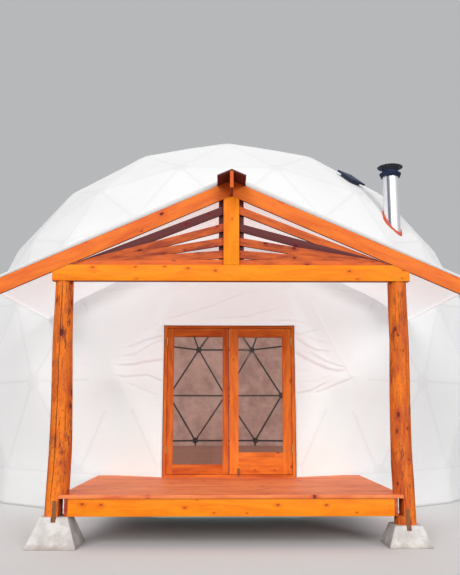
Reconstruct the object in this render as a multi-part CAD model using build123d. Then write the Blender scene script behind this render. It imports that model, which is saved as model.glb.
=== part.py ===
from build123d import *
import math
import os

# A fabric-covered geodesic dome house with a cedar porch.
# Lengths are millimetres. X is to the right of someone facing the door,
# Y goes from the porch into the house and Z is up from the ground.
# While the parts are made, the dome's axis stands at X = Y = 0.

# The dome: a four-frequency geodesic sphere, cut off level at the floor
SPHERE_R = 5035.0          # from the sphere's centre to the cover at a hub
CENTRE_ABOVE_FLOOR = 1334.0
FLOOR_LEVEL = 529.0        # floor and deck above the ground
FREQUENCY = 4
TURN = 18.0                # azimuth of the first corner of the upper ring, degrees
COVER_T = 12.0             # cover with its liner
SKIRT_T = 6.0

# The steel frame inside the cover
TUBE = 38.0                # square section of a strut
HUB_R = 70.0               # from a hub's middle to the face that a strut meets
HUB_T = 70.0
HUB_CLEARANCE = 18.0       # between a hub's outer face and the cover
FOOT_HUB_LIFT = 130.0      # middle of the lowest hubs above the floor

# The round platform
FLOOR_T = 38.0
RIM_T = 38.0

# The doorway
DOOR_SETBACK = 4926.0      # from the dome's axis to the front of the cover at the door
FRAME_W = 1830.0
FRAME_H = 2070.0
FRAME_D = 140.0
FRAME_PROUD = 10.0         # frame in front of the cover
JAMB_T = 48.0
HEAD_T = 36.0
SILL_T = 31.0
STOP_W = 14.0
STOP_D = 26.0
LEAF_T = 44.0
LEAF_GAP = 6.0
MEETING_GAP = 8.0
STOP_GAP = 5.0
GLASS_T = 6.0
BEAD = 10.0
BEAD_D = 7.0
LEFT_STILE = 88.0
LEFT_TOP_RAIL = 120.0
LEFT_BOTTOM_RAIL = 130.0
RIGHT_STILE = 124.0
RIGHT_TOP_RAIL = 125.0
RIGHT_BOTTOM_RAIL = 290.0
KICK_GROOVE_UP = 95.0      # groove of the kick board above the leaf's foot
GROOVE = 6.0
ASTRAGAL_W = 45.0
ASTRAGAL_D = 10.0
BUCK_W = 89.0
BUCK_T = 38.0
BUCK_SETBACK = 100.0       # rough posts behind the cover's face
BUCK_CLEARANCE = 3.0       # and inside the cover, where it slopes in over them
KNUCKLE_R = 7.0
KNUCKLE_CLEARANCE = 1.5
KNUCKLE_L = 33.0
KNUCKLE_GAP = 0.3
HINGE_PLATE_T = 2.0
HINGE_PLATE_D = 36.0
HINGE_UP = 368.0           # lower hinge above the floor
HINGE_DOWN = 228.0         # upper hinge below the top of the frame
BOLT_PLATE = (38.0, 6.0, 80.0)
BOLT_ROD_R = 7.0
BOLT_FOOT_GAP = 8.0

# The porch
PORCH_DEPTH = 2135.0       # from the front of the truss to the cover at the door
DECK_HALF_W = 1830.0
BOARD_W = 140.0
BOARD_GAP = 5.0
BOARD_T = 38.0
NOSING = 20.0
PLANK_T = 38.0             # two-by lumber
JOIST_H = 184.0
JOIST_COUNT = 9
RIM_HALF_W = 1770.0        # outer faces of the side joists
POST_X = 1868.0
POST_SETBACK = 108.0       # log's axis behind the front of the truss
LEFT_LOG_R = (131.0, 126.0, 119.0, 112.0, 104.0)
RIGHT_LOG_R = (121.0, 119.0, 116.0, 111.0, 106.0)
LOG_SWAY = 14.0            # how far a log wanders off plumb
LEFT_BLOCK_H = 307.0
RIGHT_BLOCK_H = 215.0
BLOCK_TOP = 290.0
BLOCK_SPLAY = 0.40         # growth of a block's half width for each unit of height
BLOCK_SLOT = 52.0
STRAP_W = 36.0
STRAP_T = 4.0
STRAP_UP = 165.0
STRAP_GAP = 0.3

# The gable truss
BEAM_BOTTOM = 2839.0
BEAM_H = 184.0
BEAM_T = 89.0
BEAM_HALF_L = 2005.0
ROOF_PITCH = 23.9          # degrees
APEX = 4017.0              # rafters' top line over the middle of the porch
RAFTER_H = 170.0
RAFTER_RUN = 2750.0
KING_W = 178.0
NAILER_W = 286.0
SLAT_W = 89.0
SLAT_ANGLES = (0.6, 4.4, 9.6, 15.2, 21.7)
FAN_X = 1700.0             # where the slats' middle lines meet
FAN_UP = 7.0               # and how far above the tie beam
SLAT_JOINT = 0.5           # saw kerf between slats where they meet
RIDGE_PROJECTION = 330.0
CAP_HALF_W = 160.0
CAP_T = 20.0
CANOPY_RIDGE_T = 62.0
CANOPY_EAVE_T = 30.0
CANOPY_OVERHANG = 18.0
CANOPY_REACH = 1400.0      # past the door, so that it runs into the dome

# What stands on the cover
FLUE_AZIMUTH = 311.8
FLUE_ELEVATION = 30.5
FLUE_SHIFT = (60.0, 80.0)  # in X and Y, off the middle of the facet it comes through
FLUE_R = 137.0
FLUE_WALL = 4.0
FLUE_TOP = 5490.0
FLUE_INSIDE = 320.0        # pipe's length below the cover
FLUE_FIT = 0.5
BOOT_R = 158.0
BOOT_H = 26.0              # square to the cover
FLANGE_R = 208.0
FLANGE_T = 8.0
COLLAR_R = 166.0           # band round the top of the pipe
COLLAR_H = 62.0
COLLAR_LIP = 20.0          # flare at the band's upper edge
COLLAR_LIP_T = 18.0
COLLAR_CAP_T = 6.0         # over the pipe's edge
HAT_R = 219.0
HAT_TOP_R = 30.0
HAT_RISE = 46.0
HAT_GAP = 118.0            # from the band up to the hat's rim
HAT_LEG_R = 7.0
HAT_LEG_OUT = 10.0         # legs' middles outside the pipe
VENT_AZIMUTH = 313.0
VENT_ELEVATION = 48.5
VENT_CURB = 290.0
VENT_CURB_H = 46.0
VENT_CURB_CORNER = 30.0
VENT_PANEL = 410.0
VENT_PANEL_T = 32.0
VENT_PANEL_CORNER = 12.0

CENTRE_Z = FLOOR_LEVEL + CENTRE_ABOVE_FLOOR
BASE_R = math.sqrt(SPHERE_R ** 2 - CENTRE_ABOVE_FLOOR ** 2)
FRAME_R = SPHERE_R - COVER_T - HUB_CLEARANCE - HUB_T / 2
FOOT_R = BASE_R - COVER_T - HUB_CLEARANCE - HUB_T / 2
TRUSS_Y = -DOOR_SETBACK - PORCH_DEPTH
SLOPE = math.tan(math.radians(ROOF_PITCH))
RAFTER_PLUMB = RAFTER_H / math.cos(math.radians(ROOF_PITCH))
SECTOR = 72.0

parts = {}


def polar(radius, azimuth, z):
    a = math.radians(azimuth)
    return Vector(radius * math.cos(a), radius * math.sin(a), z)


def azimuth_of(v):
    return math.degrees(math.atan2(v.Y, v.X)) % 360


# Geodesic net

def ring_corner(azimuth, side):
    """A corner of the icosahedron's upper (side 1) or lower (side -1) ring."""
    z = side / math.sqrt(5)
    return polar(2 / math.sqrt(5), azimuth, z)


def small_triangles(a, b, c):
    """One face of the icosahedron cut into small triangles on the unit sphere."""
    n = FREQUENCY

    def point(i, j):
        return (a * (n - i) + b * (i - j) + c * j).normalized()

    out = []
    for i in range(n):
        for j in range(i + 1):
            out.append((point(i, j), point(i + 1, j), point(i + 1, j + 1)))
            if j < i:
                out.append((point(i, j), point(i + 1, j + 1), point(i, j + 1)))
    return out


net = {}                   # hub name to its unit vector


def hub_name(v):
    for name, known in net.items():
        if (known - v).length < 1e-4:
            return name
    name = f"hub_{len(net)}"
    net[name] = v
    return name


CUT = -CENTRE_ABOVE_FLOOR / SPHERE_R


def is_foot(v):
    return abs(v.Z - CUT) < 0.05


def panel_triangles(corners):
    """The named triangles of one face, above the level where the dome is cut."""
    out = []
    for triangle in small_triangles(*corners):
        if min(v.Z for v in triangle) > CUT - 0.05:
            out.append(tuple(hub_name(v) for v in triangle))
    return out


top = Vector(0, 0, 1)
panels = {}
for k in range(5):
    upper = ring_corner(TURN + SECTOR * k, 1)
    upper_next = ring_corner(TURN + SECTOR * (k + 1), 1)
    lower = ring_corner(TURN + SECTOR * (k + 0.5), -1)
    lower_next = ring_corner(TURN + SECTOR * (k + 1.5), -1)
    panels[f"crown_cover_{k + 1}"] = panel_triangles((top, upper, upper_next))
    panels[f"wall_cover_{k + 1}"] = (panel_triangles((upper, lower, upper_next))
                                     + panel_triangles((upper_next, lower, lower_next)))


# Doorway in the net: the hubs in its way go, and the cover is drawn to its corners

FRONT = 270.0
HALF_STEP = 90.0 / (FREQUENCY + 1) / 2
LEVELS = {"upper": 0.26, "middle": 0.0, "foot": CUT}


def hub_at(level, azimuth):
    def miss(name):
        v = net[name]
        turn = (azimuth_of(v) - azimuth + 180) % 360 - 180
        return abs(v.Z - LEVELS[level]) * 200 + abs(turn)
    return min(net, key=miss)


lost = {hub_at("middle", FRONT)}
lost |= {hub_at("foot", FRONT + side * HALF_STEP) for side in (-1, 1)}
door_corners = {}
for side, word in ((-1, "left"), (1, "right")):
    door_corners[f"{word}_foot"] = (side * FRAME_W / 2, FLOOR_LEVEL)
    door_corners[f"{word}_head"] = (side * FRAME_W / 2, FLOOR_LEVEL + FRAME_H)

for name in panels:
    panels[name] = [t for t in panels[name] if not lost & set(t)]

front_panel = "wall_cover_4"
for side, word, panel in ((-1, "left", "wall_cover_3"), (1, "right", front_panel)):
    over = hub_at("upper", FRONT + side * HALF_STEP)
    beside = hub_at("middle", FRONT + side * 2 * HALF_STEP)
    low = hub_at("foot", FRONT + side * 3 * HALF_STEP)
    new = [(over, beside, f"{word}_head"), (beside, f"{word}_foot", f"{word}_head")]
    panels[front_panel] += new
    panels[panel].append((beside, low, f"{word}_foot"))
over_left = hub_at("upper", FRONT - HALF_STEP)
over_right = hub_at("upper", FRONT + HALF_STEP)
panels[front_panel] += [(over_left, over_right, "right_head"), (over_left, "right_head", "left_head")]


# Cover

def cover_point(name, depth):
    """A point of the cover, at its face or that depth inside it."""
    if name in door_corners:
        x, z = door_corners[name]
        return Vector(x, -DOOR_SETBACK + depth, z)
    v = net[name]
    if is_foot(v):
        return polar(BASE_R - depth, azimuth_of(v), FLOOR_LEVEL)
    return v * (SPHERE_R - depth) + Vector(0, 0, CENTRE_Z)


def flat(*points):
    return Face(Wire.make_polygon(points, close=True))


def band(edge, depth_a, depth_b):
    """The rim of a shell along one edge, as two triangles that both neighbours share."""
    low, high = sorted(edge)
    a, b = cover_point(low, depth_a), cover_point(high, depth_a)
    c, d = cover_point(high, depth_b), cover_point(low, depth_b)
    return [flat(a, b, c), flat(a, c, d)]


def shell_of(triangles, thickness):
    faces = []
    count = {}
    for t in triangles:
        faces.append(flat(*[cover_point(n, 0) for n in t]))
        faces.append(flat(*[cover_point(n, thickness) for n in t]))
        for edge in zip(t, t[1:] + t[:1]):
            count[frozenset(edge)] = count.get(frozenset(edge), 0) + 1
    for edge, uses in count.items():
        if uses == 1:
            faces += band(edge, 0, thickness)
    return Solid(Shell(faces))


for name, triangles in panels.items():
    parts[name] = shell_of(triangles, COVER_T)


# Outline of the cover's foot, round the platform

foot_hubs = [n for n in net if is_foot(net[n]) and n not in lost]
foot_hubs.sort(key=lambda n: (azimuth_of(net[n]) - FRONT) % 360)
outline_names = ["right_foot"] + foot_hubs + ["left_foot"]


def outline(depth):
    return [(p.X, p.Y) for p in (cover_point(n, depth) for n in outline_names)]


def shape_of(points):
    """A flat outline whose face looks along +Z, whichever way round its points run."""
    twice_area = sum(a[0] * b[1] - b[0] * a[1] for a, b in zip(points, points[1:] + points[:1]))
    return Polygon(*(points if twice_area > 0 else points[::-1]), align=None)


def prism(points, z_low, z_high):
    return extrude(Pos(0, 0, z_low) * shape_of(points), amount=z_high - z_low)


def dome_body(depth):
    """Everything that depth inside the cover's face, as one block to cut other pieces with."""
    faces = [flat(*[cover_point(n, depth) for n in t]) for tris in panels.values() for t in tris]
    head = [cover_point(n, depth) for n in ("left_foot", "right_foot", "right_head", "left_head")]
    faces.append(flat(*head))
    faces.append(flat(*[cover_point(n, depth) for n in outline_names]))
    return Solid(Shell(faces))


dome_block = dome_body(0)

parts["platform_floor"] = prism(outline(SKIRT_T), FLOOR_LEVEL - FLOOR_T, FLOOR_LEVEL)
parts["platform_rim"] = (prism(outline(SKIRT_T), 0, FLOOR_LEVEL - FLOOR_T)
                         - prism(outline(SKIRT_T + RIM_T), 0, FLOOR_LEVEL - FLOOR_T))
parts["cover_skirt"] = prism(outline(0), 0, FLOOR_LEVEL) - prism(outline(SKIRT_T), 0, FLOOR_LEVEL)


# Frame of square tubes between hubs

def frame_point(name):
    v = net[name]
    if is_foot(v):
        return polar(FOOT_R, azimuth_of(v), FLOOR_LEVEL + FOOT_HUB_LIFT)
    return v * FRAME_R + Vector(0, 0, CENTRE_Z)


def normal_at(point):
    return (point - Vector(0, 0, CENTRE_Z)).normalized()


def along_surface(normal, direction):
    return (direction - normal * direction.dot(normal)).normalized()


def tube(start, end, start_face, end_face, lean):
    """A square tube from start to end, cut off at two faces given as (point, normal)."""
    run = (end - start).normalized()
    rise = along_surface(run, lean)
    side = run.cross(rise)
    corners = []
    for face_point, face_normal in (start_face, end_face):
        ring = []
        for s, r in ((-1, -1), (1, -1), (1, 1), (-1, 1)):
            p = start + side * (s * TUBE / 2) + rise * (r * TUBE / 2)
            t = (face_point - p).dot(face_normal) / run.dot(face_normal)
            ring.append(p + run * t)
        corners.append(ring)
    near, far = corners
    faces = [flat(*near), flat(*far)]
    for i in range(4):
        j = (i + 1) % 4
        faces.append(flat(near[i], near[j], far[j], far[i]))
    return Solid(Shell(faces))


directions = {}            # hub name to the directions in which pieces leave it


def leave(name, target):
    """The flat side of a hub that faces target, as (point, normal)."""
    middle = frame_point(name)
    way = along_surface(normal_at(middle), target - middle)
    directions.setdefault(name, []).append(way)
    return middle + way * HUB_R, way


struts = {"crown": [], "wall": []}
edges = set()
for triangles in panels.values():
    for t in triangles:
        edges |= {frozenset(e) for e in zip(t, t[1:] + t[:1])}
for edge in sorted(tuple(sorted(e)) for e in edges):
    if set(edge) & set(door_corners):
        continue
    a, b = (frame_point(n) for n in edge)
    lean = normal_at((a + b) * 0.5)
    group = "crown" if (a.Z + b.Z) / 2 > CENTRE_Z + SPHERE_R * 0.42 else "wall"
    struts[group].append(tube(a, b, leave(edge[0], b), leave(edge[1], a), lean))

# Feet under the lowest hubs, and short tubes from the hubs round the door to its posts
floor_face = (Vector(0, 0, FLOOR_LEVEL), Vector(0, 0, 1))
for name in foot_hubs:
    middle = frame_point(name)
    toe = middle + along_surface(normal_at(middle), Vector(0, 0, -1)) * (2 * FOOT_HUB_LIFT)
    struts["wall"].append(tube(middle, toe, leave(name, toe), floor_face, normal_at(middle)))

buck_out = FRAME_W / 2 + BUCK_W
buck_top = FLOOR_LEVEL + FRAME_H + BUCK_W
buck_front = -DOOR_SETBACK + BUCK_SETBACK
buck_y = buck_front + BUCK_T / 2
for side in (-1, 1):
    over = hub_at("upper", FRONT + side * HALF_STEP)
    a = frame_point(over)
    b = Vector(a.X, buck_y, buck_top)
    struts["wall"].append(tube(a, b, leave(over, b), (b, Vector(0, 0, 1)), Vector(0, -1, 0)))
    for level, steps in (("middle", 2), ("foot", 3)):
        hub = hub_at(level, FRONT + side * steps * HALF_STEP)
        a = frame_point(hub)
        b = Vector(side * buck_out, buck_y, a.Z)
        struts["wall"].append(tube(a, b, leave(hub, b), (b, Vector(side, 0, 0)), normal_at(a)))
parts["frame_struts_crown"] = Compound(children=struts["crown"])
parts["frame_struts_wall"] = Compound(children=struts["wall"])


def hub_plate(name):
    """A flat prism with one side square to each piece that meets it."""
    middle = frame_point(name)
    plane = Plane(origin=middle, z_dir=normal_at(middle))
    angles = sorted(math.atan2(w.dot(plane.y_dir), w.dot(plane.x_dir)) for w in directions[name])
    full = []
    for now, after in zip(angles, angles[1:] + [angles[0] + 2 * math.pi]):
        steps = max(1, math.ceil((after - now) / math.radians(80)))
        full += [now + (after - now) * s / steps for s in range(steps)]
    corners = []
    for now, after in zip(full, full[1:] + [full[0] + 2 * math.pi]):
        reach = HUB_R / math.cos((after - now) / 2)
        turn = (now + after) / 2
        corners.append((reach * math.cos(turn), reach * math.sin(turn)))
    face = plane.offset(-HUB_T / 2) * Polygon(*corners, align=None)
    return extrude(face, amount=HUB_T).solid()


parts["frame_hubs"] = Compound(children=[hub_plate(n) for n in net if n not in lost and n in directions])


# Door frame, leaves and hinges

def block(x_low, x_high, y_low, y_high, z_low, z_high):
    size = (x_high - x_low, y_high - y_low, z_high - z_low)
    return Pos(x_low, y_low, z_low) * Box(*size, align=(Align.MIN, Align.MIN, Align.MIN))


door_y = -DOOR_SETBACK - FRAME_PROUD         # front of the frame and the leaves
frame_x = FRAME_W / 2
clear_x = frame_x - JAMB_T
sill_z = FLOOR_LEVEL + SILL_T
head_z = FLOOR_LEVEL + FRAME_H - HEAD_T
frame_back = door_y + FRAME_D
stop_y = door_y + LEAF_T + STOP_GAP
leaf_low = sill_z + LEAF_GAP
leaf_high = head_z - LEAF_GAP

door_frame = block(-frame_x, frame_x, door_y, frame_back, FLOOR_LEVEL, FLOOR_LEVEL + FRAME_H)
door_frame -= block(-clear_x, clear_x, door_y, stop_y, sill_z, head_z)
door_frame -= block(-clear_x, clear_x, stop_y + STOP_D, frame_back, sill_z, head_z)
stop_x = clear_x - STOP_W
door_frame -= block(-stop_x, stop_x, stop_y, stop_y + STOP_D, sill_z, head_z - STOP_W)
parts["door_frame"] = door_frame

buck = block(-buck_out, buck_out, buck_front, buck_front + BUCK_T, FLOOR_LEVEL, buck_top)
buck -= block(-frame_x, frame_x, buck_front, buck_front + BUCK_T, FLOOR_LEVEL, FLOOR_LEVEL + FRAME_H)
parts["door_posts"] = (buck & dome_body(COVER_T + BUCK_CLEARANCE)).solid()


def leaf(side, stile, top_rail, bottom_rail):
    """One glazed leaf and its pane."""
    x_hinge = side * (clear_x - LEAF_GAP)
    x_meet = side * MEETING_GAP / 2
    x_low, x_high = min(x_hinge, x_meet), max(x_hinge, x_meet)
    wood = block(x_low, x_high, door_y, door_y + LEAF_T, leaf_low, leaf_high)
    hole = (x_low + stile, x_high - stile)
    light = (leaf_low + bottom_rail, leaf_high - top_rail)
    wood -= block(*hole, door_y, door_y + LEAF_T, *light)
    wood -= block(hole[0] - BEAD, hole[1] + BEAD, door_y, door_y + BEAD_D, light[0] - BEAD, light[1] + BEAD)
    pane_y = door_y + (LEAF_T - GLASS_T) / 2
    pane = block(*hole, pane_y, pane_y + GLASS_T, *light)
    return wood, pane


left_wood, left_pane = leaf(-1, LEFT_STILE, LEFT_TOP_RAIL, LEFT_BOTTOM_RAIL)
right_wood, right_pane = leaf(1, RIGHT_STILE, RIGHT_TOP_RAIL, RIGHT_BOTTOM_RAIL)
meet_x = MEETING_GAP / 2
right_wood += block(meet_x, meet_x + ASTRAGAL_W, door_y - ASTRAGAL_D, door_y, leaf_low, leaf_high)
groove_z = leaf_low + KICK_GROOVE_UP
right_wood -= block(meet_x + RIGHT_STILE, clear_x - LEAF_GAP - RIGHT_STILE, door_y, door_y + GROOVE,
                    groove_z, groove_z + GROOVE)
parts["left_door_leaf"] = left_wood
parts["right_door_leaf"] = right_wood
parts["left_door_glass"] = left_pane
parts["right_door_glass"] = right_pane

hinge_y = door_y - KNUCKLE_R - KNUCKLE_CLEARANCE
hinge_x = clear_x - LEAF_GAP / 2


def knuckle(side, to_leaf, z_low):
    """A hinge knuckle with its plate, let in beside the leaf or the jamb."""
    x = side * hinge_x
    barrel = Pos(x, hinge_y, z_low) * Cylinder(KNUCKLE_R, KNUCKLE_L, align=(Align.CENTER, Align.CENTER, Align.MIN))
    out = -side if to_leaf else side
    near = x + out * (LEAF_GAP / 2 - HINGE_PLATE_T)
    far = x + out * LEAF_GAP / 2
    plate = block(min(near, far), max(near, far), hinge_y, door_y + HINGE_PLATE_D, z_low, z_low + KNUCKLE_L)
    return (barrel + plate).solid()


pitch = KNUCKLE_L + KNUCKLE_GAP
frame_knuckles = []
for side, word in ((-1, "left"), (1, "right")):
    leaf_knuckles = []
    for height in (HINGE_UP, FRAME_H - HINGE_DOWN):
        z_low = FLOOR_LEVEL + height - 1.5 * pitch
        frame_knuckles += [knuckle(side, False, z_low), knuckle(side, False, z_low + 2 * pitch)]
        leaf_knuckles.append(knuckle(side, True, z_low + pitch))
    parts[f"{word}_leaf_knuckles"] = Compound(children=leaf_knuckles)
parts["frame_knuckles"] = Compound(children=frame_knuckles)

bolt_x = meet_x + RIGHT_STILE
bolt_w, bolt_t, bolt_h = BOLT_PLATE
bolt = block(bolt_x - bolt_w / 2, bolt_x + bolt_w / 2, door_y - bolt_t, door_y, leaf_low, leaf_low + bolt_h)
rod_low = FLOOR_LEVEL + BOLT_FOOT_GAP
rod_h = leaf_low + bolt_h * 0.8 - rod_low
bolt += Pos(bolt_x, door_y - bolt_t - BOLT_ROD_R + 1, rod_low) * Cylinder(
    BOLT_ROD_R, rod_h, align=(Align.CENTER, Align.CENTER, Align.MIN))
parts["foot_bolt"] = bolt


# Porch deck

def trimmed(piece, depth, z_low, z_high):
    return piece - prism(outline(depth), z_low, z_high)


joist_top = FLOOR_LEVEL - BOARD_T
joist_low = joist_top - JOIST_H
foot_beside = cover_point(hub_at("foot", FRONT + 3 * HALF_STEP), 0)
house_reach = -foot_beside.Y                 # boards and joists stop against the house

board_front = TRUSS_Y - NOSING
boards = []
board_y = board_front
while board_y < -house_reach:
    board = block(-DECK_HALF_W, DECK_HALF_W, board_y, board_y + BOARD_W, joist_top, FLOOR_LEVEL)
    left_over = trimmed(board, -BOARD_GAP, joist_top, FLOOR_LEVEL)
    boards += [s for s in left_over.solids() if s.volume > BOARD_W * BOARD_T * BOARD_W]
    board_y += BOARD_W + BOARD_GAP
parts["deck_boards"] = Compound(children=boards)

parts["front_fascia"] = block(-RIM_HALF_W + PLANK_T, RIM_HALF_W - PLANK_T, TRUSS_Y, TRUSS_Y + PLANK_T,
                              joist_low, joist_top)
joists = []
joist_pitch = (2 * RIM_HALF_W - PLANK_T) / (JOIST_COUNT - 1)
for i in range(JOIST_COUNT):
    x = -RIM_HALF_W + i * joist_pitch
    outer = i in (0, JOIST_COUNT - 1)
    y_front = TRUSS_Y if outer else TRUSS_Y + PLANK_T
    joist = block(x, x + PLANK_T, y_front, -house_reach, joist_low, joist_top)
    joists.append(trimmed(joist, 0, joist_low, joist_top).solid())
parts["deck_joists"] = Compound(children=joists)


# Pier blocks, logs and straps

post_y = TRUSS_Y + POST_SETBACK
log_back = post_y + max(LEFT_LOG_R + RIGHT_LOG_R)
deck_box = block(-DECK_HALF_W, DECK_HALF_W, board_front, log_back, joist_low, FLOOR_LEVEL)


def pier_block(side, height):
    foot = BLOCK_TOP + 2 * BLOCK_SPLAY * height
    base = Pos(side * POST_X, post_y, 0) * Rectangle(foot, foot)
    crown = Pos(side * POST_X, post_y, height) * Rectangle(BLOCK_TOP, BLOCK_TOP)
    body = loft([base.face(), crown.face()], ruled=True)
    slot = block(side * POST_X - BLOCK_SLOT / 2, side * POST_X + BLOCK_SLOT / 2,
                 post_y - foot, post_y + foot, height - BLOCK_SLOT, height)
    return body - slot


def log_post(side, low, radii):
    """A peeled log, a little crooked, notched where the deck's corner is let in."""
    high = BEAM_BOTTOM
    rings = []
    for i, radius in enumerate(radii):
        share = i / (len(radii) - 1)
        sway = LOG_SWAY * math.sin(share * math.pi * 1.7)
        ring = Pos(side * (POST_X - sway), post_y, low + (high - low) * share) * Circle(radius)
        rings.append(ring.face())
    return (loft(rings, ruled=True) - deck_box).solid()


def strap(side, height, radius):
    front = post_y - radius - STRAP_GAP
    x = side * POST_X
    return block(x - STRAP_W / 2, x + STRAP_W / 2, front - STRAP_T, front, height - BLOCK_SLOT, height + STRAP_UP)


parts["left_pier_block"] = pier_block(-1, LEFT_BLOCK_H)
parts["right_pier_block"] = pier_block(1, RIGHT_BLOCK_H)
parts["left_log_post"] = log_post(-1, LEFT_BLOCK_H, LEFT_LOG_R)
parts["right_log_post"] = log_post(1, RIGHT_BLOCK_H, RIGHT_LOG_R)
parts["post_straps"] = Compound(children=[
    strap(-1, LEFT_BLOCK_H, LEFT_LOG_R[0]).solid(), strap(1, RIGHT_BLOCK_H, RIGHT_LOG_R[0]).solid()])


# Gable truss

def plate_xz(points, y_front, thickness):
    """A board with that outline in X and Z, from y_front back by its thickness."""
    plane = Plane.XZ.offset(-(y_front + thickness))
    return extrude(plane * shape_of(points), amount=thickness)


def largest(shape):
    return max(shape.solids(), key=lambda s: s.volume)


def roof_line(x, lift=0.0):
    return APEX + lift - SLOPE * abs(x)


beam_top = BEAM_BOTTOM + BEAM_H
rafter_low = APEX - RAFTER_PLUMB             # rafters' lower line over the middle
beam_corner_z = rafter_low - SLOPE * BEAM_HALF_L
beam_corner_x = (rafter_low - beam_top) / SLOPE
parts["tie_beam"] = plate_xz([
    (-BEAM_HALF_L, BEAM_BOTTOM), (BEAM_HALF_L, BEAM_BOTTOM), (BEAM_HALF_L, beam_corner_z),
    (beam_corner_x, beam_top), (-beam_corner_x, beam_top), (-BEAM_HALF_L, beam_corner_z)], TRUSS_Y, BEAM_T)

ridge_x = PLANK_T / 2
for side, word in ((-1, "left"), (1, "right")):
    near, far = side * ridge_x, side * RAFTER_RUN
    parts[f"{word}_rafter"] = plate_xz([
        (near, roof_line(near)), (far, roof_line(far)),
        (far, roof_line(far) - RAFTER_PLUMB), (near, roof_line(near) - RAFTER_PLUMB)], TRUSS_Y, PLANK_T)

king_top = rafter_low - SLOPE * ridge_x
king_shoulder = rafter_low - SLOPE * KING_W / 2
parts["king_post"] = plate_xz([
    (-KING_W / 2, beam_top), (KING_W / 2, beam_top), (KING_W / 2, king_shoulder),
    (ridge_x, king_top), (-ridge_x, king_top), (-KING_W / 2, king_shoulder)], TRUSS_Y, PLANK_T)

slat_y = TRUSS_Y + PLANK_T
nailer_y = slat_y + PLANK_T
ridge_low = king_top
parts["slat_nailer"] = block(-NAILER_W / 2, NAILER_W / 2, nailer_y, nailer_y + PLANK_T, beam_top, ridge_low)


def slat_fan(side):
    """Five slats from the eave to the king post, each cut to the one below it."""
    slats = []
    below = None
    under_roof = rafter_low - SLOPE * ridge_x
    room = shape_of([(ridge_x, beam_top), (beam_corner_x, beam_top), (ridge_x, under_roof)])
    plane = Plane.XZ.offset(-nailer_y)
    tail_x = beam_corner_x
    for angle in SLAT_ANGLES:
        a = math.radians(angle)
        half = SLAT_W / 2 / math.cos(a)
        mid = beam_top + FAN_UP
        rise = math.tan(a) * (FAN_X - ridge_x)
        tail = math.tan(a) * (FAN_X - tail_x)
        bar = shape_of([(ridge_x, mid + rise - half), (tail_x, mid + tail - half),
                        (tail_x, mid + tail + half), (ridge_x, mid + rise + half)])
        piece = bar & room
        if below is not None:
            piece = piece - below
        kerf = Pos(0, SLAT_JOINT) * bar + bar
        below = kerf if below is None else below + kerf
        slat = largest(extrude(plane * piece, amount=PLANK_T))
        slats.append(slat if side > 0 else mirror(slat, about=Plane.YZ))
    return slats


parts["gable_slats"] = Compound(children=slat_fan(-1) + slat_fan(1))

ridge_front = TRUSS_Y - RIDGE_PROJECTION
ridge_back = -DOOR_SETBACK + CANOPY_REACH
ridge = plate_xz([(-ridge_x, ridge_low), (ridge_x, ridge_low), (ridge_x, roof_line(ridge_x)),
                  (0, APEX), (-ridge_x, roof_line(ridge_x))], ridge_front, ridge_back - ridge_front)
parts["ridge_board"] = largest(ridge - dome_block)

cap_boards = []
for side in (-1, 1):
    edge = side * CAP_HALF_W
    cap_boards.append(plate_xz([(0, APEX), (edge, roof_line(edge)), (edge, roof_line(edge, CAP_T)), (0, APEX + CAP_T)],
                               ridge_front, RIDGE_PROJECTION + PLANK_T))
cap = cap_boards[0] + cap_boards[1]
parts["ridge_cap"] = cap

eave_x = RAFTER_RUN + CANOPY_OVERHANG
for side, word in ((-1, "left"), (1, "right")):
    edge = side * eave_x
    sheet = plate_xz([(0, APEX), (edge, roof_line(edge)), (edge, roof_line(edge, CANOPY_EAVE_T)),
                      (0, APEX + CANOPY_RIDGE_T)], TRUSS_Y, ridge_back - TRUSS_Y)
    sheet = sheet - cap
    parts[f"{word}_canopy"] = largest(sheet - dome_block)


# Flue and roof vent, each seated on its own facet of the cover

def facet_towards(direction):
    """The panel's name and the plane of the facet that a ray from the centre meets."""
    best = None
    for name, triangles in panels.items():
        for t in triangles:
            a, b, c = (cover_point(n, 0) for n in t)
            middle = (a + b + c) * (1 / 3)
            score = normal_at(middle).dot(direction)
            if best is None or score > best[0]:
                normal = (b - a).cross(c - a).normalized()
                if normal.dot(direction) < 0:
                    normal = normal * -1
                level = Vector(-normal.Y, normal.X, 0)
                best = (score, name, Plane(origin=middle, x_dir=level, z_dir=normal))
    return best[1], best[2]


def looking(azimuth, elevation):
    return polar(math.cos(math.radians(elevation)), azimuth, math.sin(math.radians(elevation)))


flue_panel, flue_plane = facet_towards(looking(FLUE_AZIMUTH, FLUE_ELEVATION))
facet_n = flue_plane.z_dir
facet_middle = flue_plane.origin
shift_x, shift_y = FLUE_SHIFT
flue_z = facet_middle.Z - (shift_x * facet_n.X + shift_y * facet_n.Y) / facet_n.Z
flue_foot = Vector(facet_middle.X + shift_x, facet_middle.Y + shift_y, flue_z)
on_facet = Plane(origin=flue_foot, z_dir=facet_n)


def upright(radius, z_low, z_high):
    pin = Cylinder(radius, z_high - z_low, align=(Align.CENTER, Align.CENTER, Align.MIN))
    return Pos(flue_foot.X, flue_foot.Y, z_low) * pin


through = upright(FLUE_R + FLUE_FIT, flue_z - 2 * FLUE_INSIDE, FLUE_TOP)
parts[flue_panel] = parts[flue_panel] - through
parts["flue_pipe"] = (upright(FLUE_R, flue_z - FLUE_INSIDE, FLUE_TOP)
                      - upright(FLUE_R - FLUE_WALL, flue_z - FLUE_INSIDE, FLUE_TOP))

slab = extrude(on_facet * Rectangle(6 * FLANGE_R, 6 * FLANGE_R), amount=BOOT_H)
boot = upright(BOOT_R, flue_z - 4 * BOOT_R, flue_z + 4 * BOOT_R) & slab
boot += extrude(on_facet * Circle(FLANGE_R), amount=FLANGE_T)
parts["flue_boot"] = (boot - through).solid()

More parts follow.
